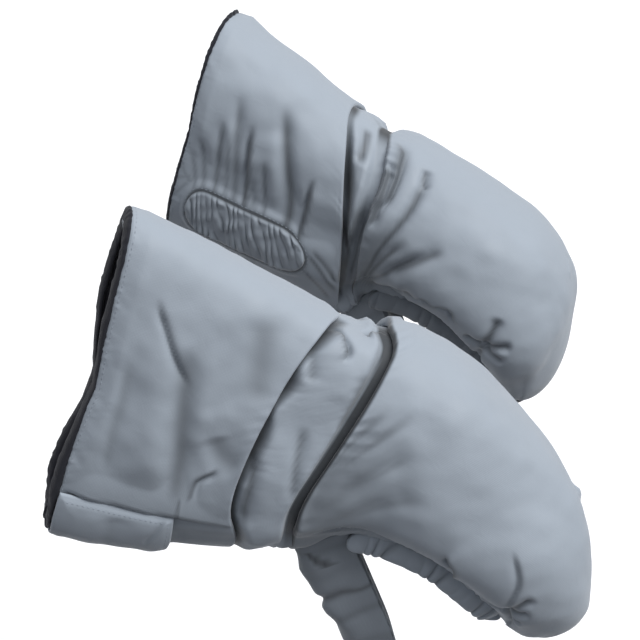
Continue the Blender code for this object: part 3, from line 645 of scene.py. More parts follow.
def closed_body(name, mitt, outer, inner, uv, painted_shade, inside_out=False, step=COARSE):
    """A closed mesh between a fine outer grid and an inner one with every step-th row and column of it."""
    near = np.arange(outer[..., 0].size).reshape(outer.shape[:2])
    far = near.size + np.arange(inner[..., 0].size).reshape(inner.shape[:2])
    faces = grid_quads(near).tolist() + grid_quads(far)[:, [0, 3, 2, 1]].tolist()
    sides = (
        (near[0], far[0], 1),
        (near[-1], far[-1], -1),
        (near[:, 0], far[:, 0], -1),
        (near[:, -1], far[:, -1], 1),
    )
    for fine, few, order in sides:
        for k in range(len(few) - 1):
            face = [*fine[k * step : (k + 1) * step + 1], few[k + 1], few[k]]
            faces.append([int(i) for i in face[::order]])
    points = np.concatenate([outer.reshape(-1, 3), inner.reshape(-1, 3)])
    places = np.concatenate([uv.reshape(-1, 2), uv[every(step)].reshape(-1, 2)])
    dark = np.concatenate([painted_shade.ravel(), painted_shade[every(step)].ravel()])
    return new_piece(name, mitt, points, faces, places, dark, inside_out)


def ringed_body(name, mitt, rings, painted_shade):
    """A closed mesh through rings of points, the first and the last filled."""
    count, around = rings.shape[:2]
    middle = rings.mean(axis=1, keepdims=True)
    across = np.cross(rings[1:] - rings[:-1], np.roll(rings, -1, axis=1)[:-1] - rings[:-1])
    inward = ((rings[:-1] - middle[:-1]) * across).sum() < 0
    steps = np.linalg.norm(np.diff(rings, axis=1), axis=2).mean()
    along = path_lengths(middle[:, 0])[:, None]
    uv = np.stack(np.broadcast_arrays(np.arange(around) * steps, along), axis=-1).reshape(-1, 2)
    faces = tube_faces(np.arange(count * around).reshape(count, around))
    return new_piece(name, mitt, rings.reshape(-1, 3), faces, uv, painted_shade.ravel(), bool(inward))


class Cover:
    """Fabric over part of a mitt: a grid of places whose lift off the sections gives it its folds."""

    def __init__(self, mitt, stations, angle, depth=0.0):
        self.mitt = mitt
        self.station, self.angle = np.repeat(stations[:, None], angle.shape[1], axis=1), angle
        self.base = mitt.place(self.station, angle, depth)
        self.normal = normals(self.base)
        self.turn = from_bottom(angle)
        self.below = fade(*BELOW_ANGLES, self.turn)
        self.outer = np.sin(angle) > 0
        along = np.linalg.norm(np.diff(self.base, axis=0), axis=2)
        across = np.linalg.norm(np.diff(self.base, axis=1), axis=2)
        self.from_start = np.insert(np.cumsum(along, axis=0), 0, 0, axis=0)
        self.from_end = self.from_start[-1:] - self.from_start
        self.from_outer = np.insert(np.cumsum(across, axis=1), 0, 0, axis=1)
        self.from_inner = self.from_outer[:, -1:] - self.from_outer
        self.from_split = np.minimum(self.from_outer, self.from_inner)
        self.lift = np.zeros(angle.shape)
        self.slide = np.zeros(self.base.shape)
        # How much shade is painted into the colour at each point, 0 to 1
        self.painted_shade = np.zeros(angle.shape)

    def darken(self, shade):
        """Paints shade into the fabric's colour, at least this much."""
        self.painted_shade = np.maximum(self.painted_shade, shade)

    def fold(self, shape, depth, width, *places, room=1.0):
        """A stroke that folds the fabric: a valley, a ridge, or the side from which fabric lies over it."""
        depth, width = depth * MM, width * MM
        line = stroke_line(self.mitt, places)
        low, high = line.min(axis=0) - 4 * width, line.max(axis=0) + 4 * width
        near = np.all((self.base > low) & (self.base < high), axis=-1)
        if not near.any():
            return
        points = self.base[near]
        away, share, side = stroke_field(points, self.normal[near], line)
        if shape in FOLD_SIDES:
            station, angle = places[len(places) // 2]
            step, turn = FOLD_SIDES[shape]
            middle = self.mitt.place(station, math.radians(angle))
            beside = self.mitt.place(station + step, math.radians(angle + math.copysign(turn, angle)))
            closest = np.linalg.norm(points - middle, axis=1).argmin()
            if side[closest] @ (beside - middle) < 0:
                away, side = -away, -side
        strength = smooth(0, FOLD_FADE, share) * fade(1 - FOLD_FADE, 1, share) * room
        self.lift[near] += depth * strength * PROFILES.get(shape, lip)(away, width)
        if shape in FOLD_SIDES:
            pull = bell(away, 1.3 * width) * strength * depth * LIP_PULL
            self.slide[near] -= pull[:, None] * side
        # Valleys and lips also get shade painted into their colour along the stroke
        if shape != "ridge":
            dark = 0.8 * bell(away, 0.6 * width) * strength * min(1, depth / DEEP_FOLD)
            self.painted_shade[near] = np.maximum(self.painted_shade[near], dark)

    def folds(self, table, room=1.0):
        for shape, depth, width, *places in table:
            self.fold(shape, depth, width, *places, room=room)

    def dimple(self, station, angle):
        """A place that is drawn in by the snap."""
        away = np.linalg.norm(self.base - self.mitt.place(station, math.radians(angle)), axis=-1)
        self.lift -= DIMPLE_DEPTH * bell(away, DIMPLE_RADIUS)
        # Painted shade in the dimple
        self.darken(0.7 * bell(away, 0.4 * DIMPLE_RADIUS))

    def puff(self, seed):
        """The wadding swells the fabric, a little unevenly."""
        uneven = 1 + 0.22 * smooth_field(self.base, 0.06, seed)
        ripple = 0.0003 * smooth_field(self.base, 0.018, seed + 1)
        self.lift += puff_room(self) * (PUFF_HEIGHT * uneven + ripple)

    def round_edge(self, away, radius):
        """The fabric turns under where away, the distance from an edge, is within the radius."""
        near = np.clip(1 - away / radius, 0, 1)
        self.lift -= radius * (1 - np.sqrt(1 - 0.998 * near**2))

    def settle(self):
        """The left mitt's wadding sags along its top, and crossing folds sink no deeper than it lets them."""
        if not self.mitt.right:
            self.lift -= np.interp(self.station, SAG_STATIONS, SAG_DEPTHS) * smooth(*SAG_ANGLES, self.turn)
        self.lift = np.where(self.lift < 0, -DEEPEST * np.tanh(-self.lift / DEEPEST), self.lift)

    def points(self):
        return self.base + self.normal * self.lift[..., None] + self.slide

    def body(self, name, turned_in=(False, False, False), under=None, inside_out=False):
        """The closed body, its inner skin below every fold. Edges that are turned in reach the lining."""
        coarse = every(COARSE)
        under = block_lowest(self.lift) - SHELL_DEPTH if under is None else under[coarse].copy()
        for turned, edge in zip(turned_in, ((0, slice(None)), (-1, slice(None)), (slice(None), (0, -1)))):
            if turned:
                under[edge] = np.minimum(under[edge], -LINING_DEPTH * wall_share(self.station[coarse][edge]))
        self.under = under
        inner = self.base[coarse] + self.normal[coarse] * under[..., None]
        uv = np.stack([self.from_outer, self.from_start + self.station[:1] * STATION_LENGTH], axis=-1)
        return closed_body(name, self.mitt, self.points(), inner, uv, self.painted_shade, inside_out)


def sleeve(mitt, first, last, spacing=SPACING, depth=0.0):
    """A cover round the mitt between two stations, from the split's outer edge to its inner one."""
    fine = np.linspace(first, last, 240)
    rings = mitt.place(fine[:, None], np.linspace(0, 2 * math.pi, 49)[None])
    steps = np.linalg.norm(np.diff(rings, axis=0), axis=2).mean(axis=1)
    lengths = np.insert(np.cumsum(steps), 0, 0)
    stations = np.interp(graded(lengths[-1], spacing), lengths, fine)
    around = graded(PERIMETER, spacing) / PERIMETER
    angles = []
    for station in stations:
        turns, distances = mitt.measure(station)
        edge = float(mitt.edge(station, depth))
        start, end = np.interp((edge, 2 * math.pi - edge), turns, distances)
        angles.append(np.interp(start + around * (end - start), distances, turns))
    return Cover(mitt, stations, np.array(angles), depth)


def patch(mitt, stations, distances):
    """A cover over places this far round the cuff from the split, positive on its outer side."""
    distances = np.broadcast_to(distances, (len(stations), np.shape(distances)[-1]))
    return Cover(mitt, stations, np.array([mitt.angle_at(s, d) for s, d in zip(stations, distances)]))


def puff_room(cover):
    """Where the wadding has room to puff the fabric up: not at the split, mouth or toe, and little on top."""
    room = np.interp(cover.station, PUFF_STATIONS, (0, 1, 1, 0))
    outer, inner, hand = (smooth(*angles, cover.turn) for angles in PUFF_EDGE_ANGLES.values())
    edge = np.where(cover.station > CUFF_END, hand, np.where(cover.outer, outer, inner))
    return room * edge * (1 - (1 - PUFF_CROWN_SHARE) * smooth(*PUFF_CROWN_ANGLES, cover.turn))


def dress(piece, mitt, look, replaced=None, body="mitts"):
    """Gives a piece its material, its body when one is given (none for a piece that bends between two), and
    hides the node that it replaces.
    """
    piece.data.materials.clear()
    piece.data.materials.append(mitt.looks[look])
    if body:
        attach(piece, body)
    if replaced:
        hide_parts(f"{mitt.side}_{replaced}")


def panel_distance(cover):
    """How far places on the cuff are from the outline of the gathered panel: negative inside it."""
    along = (cover.station - np.mean(PANEL_STATIONS)) * CUFF_STATION_LENGTH
    around = cover.from_inner + SEAM_GAP / 2 + PANEL_MIDDLE
    beyond = np.maximum(np.abs(along) - (PANEL_HALF_LENGTH - PANEL_WIDTH / 2), 0)
    distance = np.hypot(beyond, around) - PANEL_WIDTH / 2
    return np.where(cover.outer, 1.0, distance)


def frame_panel(cover, seed):
    """Keeps the cuff flat under the flap and the gathered panel, puckers it round the panel's outline, and
    paints shade along that outline.
    """
    panel = panel_distance(cover)
    flap_room, inner_room = (smooth(*room, cover.from_split) for room in (FLAP_ROOM, INNER_ROOM))
    cover.lift *= np.where(cover.outer, flap_room, inner_room) * smooth(-0.003, 0.002, panel)
    above = cover.from_inner + PANEL_MIDDLE
    outline = np.arctan2(above, (cover.station - 0.9) * CUFF_STATION_LENGTH) * 0.05
    reach = 0.007 + 0.008 * smooth(-0.02, 0.02, above)
    cover.lift += 0.0017 * puckers(outline, np.abs(panel), 0.0075, reach, seed) * smooth(0, 0.003, panel)
    # Painted shade along the seam round the panel
    cover.darken(0.9 * bell(panel, 0.002))
    beyond = smooth(1.4, 1.46, cover.station) * fade(1.69, 1.94, cover.station)
    beyond *= fade(0.01, 0.026, np.abs(above + SEAM_GAP / 2))
    edging = smooth(-0.004, -0.0012, panel) * fade(0.0025, 0.009, panel)
    cover.lift = np.maximum(cover.lift, PANEL_SEAT * np.maximum(edging, beyond * ~cover.outer))


def lap_over_flap(cover):
    """The cuff's outer side laps over the flap's edge, most near the mouth, with a painted shadow line under
    it; the low part of the outer side gets painted shade as well.
    """
    along = smooth(0.02, 0.4, cover.station) * (1 - 0.6 * smooth(1.1, 1.9, cover.station))
    beside = cover.from_outer + SEAM_GAP / 2 - FLAP_EDGES[1]
    lap = LAP_HEIGHT * smooth(0.0002, 0.0022, beside) * bell(np.maximum(beside - 0.004, 0), LAP_REACH)
    cover.lift = np.maximum(cover.lift, lap * along)
    around = unit(cover.mitt.place(cover.station, cover.angle + 0.01) - cover.base)
    cover.slide -= (LAP_LEAN * along * bell(beside - 0.0028, 0.0022))[..., None] * around
    # Painted shadow line under the lap
    cover.darken(0.9 * along * bell(beside, 0.0018))
    # Painted shade on the low, downward-facing part of the outer side
    cover.darken(0.24 * fade(54, 88, cover.turn) * cover.outer)


def cuff(mitt):
    """The cuff's cover, from its mouth to the crisp edge that lies over the wrist band, and its wadding."""
    seed = mitt.seed
    cover = sleeve(mitt, 0.0, CUFF_END)
    cover.puff(seed)
    cover.folds(OUTER_CUFF_FOLDS)
    cover.folds(INNER_CUFF_FOLDS)
    cover.lift += 0.0008 * puckers(cover.from_outer, cover.from_start, 0.0075, 0.0075, seed + 2)
    cover.lift += 0.0003 * puckers(cover.from_outer, cover.from_end, 0.014, 0.01, seed + 3)
    frame_panel(cover, seed + 4)
    lap_over_flap(cover)
    if mitt.right:
        cover.lift -= 0.0026 * smooth(1.15, 1.4, cover.station) * fade(44, 57, cover.turn) * cover.outer
    else:
        cover.lift += 0.0045 * cover.below * smooth(1.3, 1.9, cover.station)
    cover.settle()
    cover.round_edge(cover.from_start, 0.0032)
    cover.round_edge(cover.from_end, 0.0015)
    cover.round_edge(cover.from_split, SPLIT_ROUNDING)
    piece = cover.body("cuff_cover", turned_in=(True, False, True))
    dress(piece, mitt, "shell", "cuff_shell")
    hem = [(HEM_STATION, angle) for angle in range(16, 345, 8)]
    stitches(mitt, "cuff", [(cover, hem), (cover, panel_outline(mitt, 0.0022))])
    batting(mitt, [(cover, slice(1, -2))], "cuff_wadding")


def batting(mitt, parts, name):
    """Wadding that fills the room between the inner skins of covers and the lining."""
    grids = []
    for cover, rows in parts:
        coarse = [grid[every(COARSE)] for grid in (cover.base, cover.normal, cover.station)]
        grids.append([grid[rows, 1:-1] for grid in (*coarse, cover.under)])
    base, normal, station, lift = (np.concatenate(grid) for grid in zip(*grids))
    recess = 0.0022 * smooth(2.15, 2.35, station) * fade(3.15, 3.35, station)
    floor = -wall_share(station) * (LINING_DEPTH - BATTING_ABOVE_LINING) + recess
    lift = np.maximum(lift - BATTING_GAP, floor + BATTING_THINNEST)
    outer = base + normal * lift[..., None]
    inner = base + normal * floor[..., None]
    piece = closed_body(name + "_batting", mitt, outer, inner, outer[..., 1:], np.zeros(lift.shape), step=1)
    dress(piece, mitt, "wadding", name)


def seam_strength(cover):
    """How deep the seam between the band and the hood is: on the inner side, only low down."""
    weak = smooth(92, 112, cover.turn) * fade(146, 178, cover.turn)
    return np.where(cover.outer, 1.0, 1 - 0.72 * weak)


def band(mitt):
    """The wrist band: it puffs up from under the cuff's edge, and dives under the hand cover's. Shade is
    painted under the cuff's edge and in the groove at the hand cover's.
    """
    seed = mitt.seed + 5
    cover = sleeve(mitt, CUFF_END - BAND_OVERLAPS[0], BAND_END + BAND_OVERLAPS[1])
    around, from_start, from_end = cover.from_outer, cover.from_start, cover.from_end
    cover.puff(seed)
    cover.lift += 0.001 * puckers(around, from_start, 0.014, 0.016, seed + 1)
    cover.lift += 0.001 * puckers(around, from_end, 0.014, 0.014, seed + 2)
    uneven = 0.5 + 0.5 * np.cos(around / 0.0085 + 1.4 * np.cos(around / 0.021 + seed))
    ragged = np.maximum(uneven, fade(66, 84, cover.turn))
    under, reach = cover.below, 0.002
    if mitt.right:
        under, reach = 0.7 * under * smooth(2.72, 2.98, cover.station), 0.007
    start = np.maximum(under, smooth(0.004, 0.011 + reach * ragged, from_start))
    end = np.maximum(under, smooth(0.0095, 0.0155, from_end))
    crown = smooth(140, 168, cover.turn)
    seam = seam_strength(cover)
    cover.lift = (cover.lift - 0.0035 * crown) * start * end
    cover.lift -= (BAND_DIVES[0] - 0.0015 * crown) * (1 - start) + BAND_DIVES[1] * seam * (1 - end)
    cover.lift += 0.007 * under
    # Painted shadow under the cuff's edge, ragged along it
    shade = (0.55 + 0.45 * ragged) * fade(0.007, 0.011 + reach * uneven, from_start)
    cover.darken(shade * (1 - under))
    # Painted shade in the groove where the band dives under the hand cover
    groove = np.where(cover.outer, 1, 0.6 + 0.4 * smooth(140, 178, cover.turn))
    cover.darken(seam * fade(0.009, 0.0116, from_end) * groove * (1 - under))
    cover.folds(OUTER_BAND_FOLDS, 1 if mitt.right else 0.25)
    cover.folds(INNER_BAND_FOLDS, 0.6 if mitt.right else 1)
    cover.settle()
    cover.round_edge(cover.from_split, SPLIT_ROUNDING)
    piece = cover.body("wrist_band_cover", turned_in=(False, False, True))
    dress(piece, mitt, "shell", "wrist_band")
    return cover


def hand(mitt, wrist):
    """The hood over the hand, from the wrist seam to the toe, and its wadding."""
    seed = mitt.seed + 9
    cover = sleeve(mitt, BAND_END, TOE)
    station, turn, from_start = cover.station, cover.turn, cover.from_start
    cover.puff(seed)
    cover.folds(OUTER_HAND_FOLDS, 1 if mitt.right else 0.5)
    cover.folds(INNER_HAND_FOLDS, 0.5 if mitt.right else 1)
    for mirror in (1, -1):
        for depth, line in ((3.6, RIM_SEAM), (2.6, FRONT_RIM_SEAM)):
            cover.fold("valley", depth, 2.2, *[(s, mirror * a) for s, a in line])
    for pinch in PINCHES:
        cover.dimple(*pinch)
    slot = smooth(3.5, 4.2, station)
    cover.lift += 0.0011 * puckers(from_start, cover.from_split, 0.011, 0.017, seed + 1) * slot
    cover.lift += 0.0009 * puckers(cover.from_outer, from_start, 0.015, 0.015, seed + 2)
    cover.lift -= 0.0012 * np.exp(-from_start / 0.012)
    cover.lift -= 0.6 * PUFF_HEIGHT * puff_room(cover) * smooth(7.2, 8.6, station)
    if mitt.right:
        cover.lift += 0.0024 * bell(station - 6.4, 0.8) * smooth(120, 165, turn)
    fullest, slimmer, lower = (62, 0.003, 0.006) if mitt.right else (74, 0.0065, 0.007)
    cover.lift -= slimmer * smooth(7.4, 8.8, station) * smooth(50, 90, turn)
    cover.lift += 0.0058 * bell(turn - fullest, 21) * smooth(4.2, 5.3, station) * fade(7.2, 8.8, station)
    cover.lift += lower * cover.below * fade(3.3, 3.9, station)
    cover.settle()
    seam = seam_strength(cover)
    cover.round_edge(from_start / (0.35 + 0.65 * seam), 0.0036)
    cover.round_edge(cover.from_split, 0.003)
    # Painted shade in the seam's groove, and broader painted shade low on the hood beside the wrist band
    cover.darken(seam * fade(0.0004, 0.003, from_start))
    cover.darken(0.52 * bell(from_start, 0.055) * fade(78, 116, turn))
    piece = cover.body("hand_cover", turned_in=(False, True, True))
    dress(piece, mitt, "shell", "hand_shell")
    rims = [[(s + 0.02, mirror * (a + 3)) for s, a in RIM_SEAM] for mirror in (1, -1)]
    stitches(mitt, "rim", [(cover, rim) for rim in rims])
    batting(mitt, [(wrist, slice(0, -2)), (cover, slice(4, -1))], "hand_wadding")


def lining(mitt):
    """The fleece lining, whose pile side faces the hand."""
    cover = sleeve(mitt, 0.0, TOE, LINING_SPACING, WALL_DEPTH)
    cover.lift += 0.0007 * smooth_field(cover.base, 0.03, mitt.seed + 20)
    thick = (WALL_DEPTH - LINING_DEPTH) * wall_share(cover.station)
    dress(cover.body("fleece_lining", under=thick, inside_out=True), mitt, "fleece", "lining")


def mouth_roll(mitt):
    """The lining's fleece, rolled out over the edge of the mouth: fuller low down, and thin at the notch."""
    up = mitt.up(0.0)
    out = np.array([0, -up[1], up[0]])
    angles = np.radians(np.linspace(*ROLL_ANGLES, 260))
    path = mitt.place(0.0, angles, WALL_DEPTH / 2 + 0.0005)
    height = MM * np.interp(from_bottom(angles), *np.array(ROLL_HEIGHTS[mitt.side]).T)
    height = height * (1 + 0.16 * smooth_field(path, 0.024, mitt.seed + 30))
    half_height = (0.7 * height + 0.001)[:, None, None]
    path = path + (height - half_height[:, 0, 0])[:, None] * out
    side = np.cross(unit(np.gradient(path, axis=0)), out)
    turns = full_turn(20)
    rise = np.cos(turns)[None, :, None] * out
    spread = np.sin(turns)[None, :, None] * side[:, None]
    rings = path[:, None] + half_height * rise + ROLL_HALF_WIDTH * spread
    rings = rings + (rise + spread) * 0.0003 * smooth_field(rings, 0.005, mitt.seed + 31)[..., None]
    piece = ringed_body("mouth_roll", mitt, rings, np.zeros(rings.shape[:2]))
    dress(piece, mitt, "binding", "mouth_binding")


def on_cover(cover, points, station, angle):
    """The point of a cover at a place, between those of its grid, and its normal there."""
    stations = cover.station[:, 0]
    row = int(np.clip(np.searchsorted(stations, station) - 1, 0, len(stations) - 2))
    share = (station - stations[row]) / (stations[row + 1] - stations[row])
    angle = angle % (2 * math.pi) if cover.angle.max() > math.pi else angle
    found = []
    for grid in (points, cover.normal):
        pair = [[np.interp(angle, cover.angle[r], grid[r, :, k]) for k in range(3)] for r in (row, row + 1)]
        found.append(np.array(pair[0]) * (1 - share) + np.array(pair[1]) * share)
    return found


def stitches(mitt, label, rows, body="mitts"):
    """Rows of topstitching: short threads that arch out of the fabric and dive back into it."""
    threads = []
    f = np.linspace(0, 1, STITCH_RINGS)[:, None, None]
    arch = np.sin(math.pi * f)
    turns = full_turn(STITCH_SIDES)[:, None]
    for cover, places in rows:
        surface = cover.points()
        fine = spline_rows(places, np.linspace(0, len(places) - 1, 24 * len(places)))
        lengths = path_lengths(mitt.place(fine[:, 0], np.radians(fine[:, 1])))
        for start in np.arange(0, lengths[-1] - STITCH_LENGTH, STITCH_PITCH):
            ends = []
            for at in (start, start + STITCH_LENGTH):
                station, degrees = (np.interp(at, lengths, fine[:, k]) for k in (0, 1))
                ends.append(on_cover(cover, surface, station, math.radians(degrees)))
            (a, normal), (b, _) = ends
            side = unit(np.cross(normal, b - a))
            middle = a + (b - a) * f + normal * (STITCH_ARCH * arch - STITCH_RADIUS)
            radius = STITCH_RADIUS * (0.45 + 0.55 * arch)
            threads.append(middle + radius * (np.cos(turns) * normal + np.sin(turns) * side))
    points = np.array(threads).reshape(-1, 3)
    index = np.arange(len(points)).reshape(-1, STITCH_RINGS, STITCH_SIDES)
    faces = [face for thread in index for face in tube_faces(thread)]
    piece = new_piece(label + "_stitches", mitt, points, faces, points[:, 1:], np.zeros(len(points)))
    dress(piece, mitt, "thread", body=body)


def panel_outline(mitt, outset):
    """Places round the gathered panel, this far outside its edge."""
    half = PANEL_HALF_LENGTH - PANEL_WIDTH / 2
    radius = PANEL_WIDTH / 2 + outset
    places = []
    for turn in np.linspace(0, 2 * math.pi, 49):
        along = half * np.clip(2.4 * math.cos(turn), -1, 1) + radius * math.cos(turn)
        station = np.mean(PANEL_STATIONS) + along / CUFF_STATION_LENGTH
        places.append((station, math.degrees(mitt.angle_at(station, PANEL_MIDDLE + radius * math.sin(turn)))))
    return places


def flap(mitt):
    """The padded flap that closes the split under the cuff."""
    seed = mitt.seed + 40
    length = np.ptp(FLAP_STATIONS) * CUFF_STATION_LENGTH
    stations = FLAP_STATIONS[0] + graded(length, FLAP_SPACING) / CUFF_STATION_LENGTH
    distances = FLAP_EDGES[0] + graded(np.ptp(FLAP_EDGES), FLAP_SPACING)
    cover = patch(mitt, stations, distances)
    edge = np.minimum.reduce([cover.from_start, cover.from_end, cover.from_outer, cover.from_inner])
    seat = np.interp(distances, FLAP_SEAT_PLACES, FLAP_SEAT) * (0.65 + 0.35 * smooth(0, 0.007, edge))
    cover.lift += seat + FLAP_EDGE_THICKNESS
    cover.lift += (FLAP_THICKNESS - FLAP_EDGE_THICKNESS) * smooth(0.001, 0.016, edge)
    cover.lift += 0.0005 * smooth_field(cover.base, 0.026, seed) * smooth(0.004, 0.012, edge)
    cover.folds(FLAP_FOLDS)
    # Painted shade over the flap, strongest towards its sewn side
    cover.darken(0.26 * smooth(0.03, 0.012, distances)[None])
    cover.round_edge(edge, 0.0014)
    body = mitt.side + "_closure_flap"
    dress(cover.body("closure_flap_cover", under=seat), mitt, "shell", "closure_flap", body)
    margin = FLAP_STITCH_INSET / CUFF_STATION_LENGTH
    first, last = FLAP_STATIONS[0] + margin, FLAP_STATIONS[1] - margin
    sewn, free = 0.004, FLAP_EDGES[1] - FLAP_STITCH_INSET
    corners = ((last, sewn), (last, free), (first, free), (first, sewn))
    rows = []
    for (s0, d0), (s1, d1) in zip(corners[:-1], corners[1:]):
        steps = [(s0 + (s1 - s0) * f, d0 + (d1 - d0) * f) for f in np.linspace(0, 1, 9)]
        rows.append((cover, [(s, math.degrees(mitt.angle_at(s, d))) for s, d in steps]))
    stitches(mitt, "flap", rows, body)


def gathered_panel(mitt):
    """The ruched panel over its elastic, with slanted ribs, a scalloped edge, and shade painted between the
    ribs and round the edge.
    """
    seed = mitt.seed + 50
    f = np.linspace(-1, 1, COARSE * 64 + 1)
    g = np.sin(np.linspace(-1, 1, COARSE * 12 + 1) * math.pi / 2)
    stations = np.interp(f, (-1, 1), PANEL_STATIONS)
    beyond = np.maximum(np.abs(f) * PANEL_HALF_LENGTH - (PANEL_HALF_LENGTH - PANEL_WIDTH / 2), 0)
    half = np.maximum(np.sqrt(np.maximum((PANEL_WIDTH / 2) ** 2 - beyond**2, 0)), 0.0016)[:, None]
    cover = patch(mitt, stations, PANEL_MIDDLE + g[None] * half)
    along = (cover.station - PANEL_STATIONS[0]) * CUFF_STATION_LENGTH
    sway = 0.0016 * np.cos(along * 210 + 1.0) + 0.0009 * np.cos(along * 390 + 0.4)
    slant = along + sway - PANEL_SLANT * g * half + 0.0005 * smooth_field(cover.base, 0.02, seed)
    ribs = np.abs(np.sin(math.pi * PANEL_RIBS * slant / (2 * PANEL_HALF_LENGTH)))
    edge = (1 - np.abs(g)) * half
    uneven = np.clip(0.9 + 0.6 * smooth_field(cover.base, 0.013, seed + 1), 0.1, 1.8)
    cover.lift += PANEL_SEAT + 0.0004 + smooth(0, 0.004, edge) * (0.0012 + 0.0015 * uneven * ribs**0.8)
    # Painted shade: a little over the whole panel, more between the ribs and towards one side, and most at
    # its edge
    between = (1 - np.minimum(ribs * 2.2, 1)) * smooth(0, 0.004, edge) * np.clip(uneven, 0.2, 1)
    high = 0.45 + 0.55 * smooth(-0.1, -0.9, np.broadcast_to(g, edge.shape))
    cover.painted_shade = np.clip(0.18 + 0.7 * between * high + 0.8 * fade(0, 0.0022, edge), 0, 1)
    piece = cover.body("gathered_panel", under=np.full(cover.lift.shape, PANEL_SEAT - 0.0006))
    dress(piece, mitt, "shell", "gather_panel")


def rim_casing(mitt, label, side):
    """A ruffled casing that hangs from one edge of the slot, pleated by the elastic in it."""
    seed = mitt.seed + 60 + side
    stations = np.linspace(*CASING_STATIONS, 300)
    relief = GROOVE_DEPTH * np.exp((BAND_END - stations) / 0.35)
    seat = mitt.place(stations, mitt.edge(stations, relief), relief)
    up = np.concatenate([np.zeros((len(stations), 1)), mitt.up(stations)], axis=1)
    seat[:, 0] *= side
    along = path_lengths(seat)
    turns = full_turn(36)
    low = (1 - np.cos(turns)) / 2
    lean = 0.004 * low[None] * np.cos(along * 120 + 3 * seed)[:, None]
    sway = 0.0024 * np.cos(along * 150 + seed) + 0.0016 * np.cos(along * 263 + 2 * seed)
    pleat = np.abs(np.sin(math.pi * ((along + sway)[:, None] + lean) / PLEAT_LENGTH)) ** 0.9
    pleat = 1 - (1 - pleat) * (0.6 + 0.4 * np.cos(along * 137 + seed))[:, None]
    ends = np.minimum(along, along[-1] - along)
    rounding = np.sqrt(np.clip(1 - np.clip(1 - ends / CASING_END, 0, 1) ** 2, 0.02, 1))
    height = CASING_HEIGHT / 2 * rounding * (1 - CASING_SHRINK * smooth(8.3, 9.4, stations))
    middle = seat - up * (CASING_HEIGHT / 2 - CASING_OVERLAP)
    swell = PLEAT_HEIGHT * (pleat - 0.45) * (0.35 + 0.65 * low[None])
    rise = np.cos(turns)[None] * height[:, None] - 0.0012 * (pleat - 0.5) * low[None]
    rings = middle[:, None] + up[:, None] * rise[..., None]
    rings[..., 0] += np.sin(turns)[None] * ((CASING_WIDTH / 2 * rounding)[:, None] + swell)
    # Painted shade in the valleys of the pleats and along the top, where the casing tucks under the rim; the
    # inner casing is painted in deep shade all over
    painted_shade = np.clip(1 - 1.5 * pleat, 0, 1) * (0.6 + 0.4 * low[None])
    painted_shade = np.maximum(painted_shade, 0.8 * fade(0.04, 0.16, low)[None])
    if side < 0:
        painted_shade = np.maximum(painted_shade, INSIDE_SHADE)
    piece = ringed_body(label + "_ruffled_casing", mitt, rings, 0.8 * painted_shade)
    dress(piece, mitt, "shell", label + "_rim_casing")


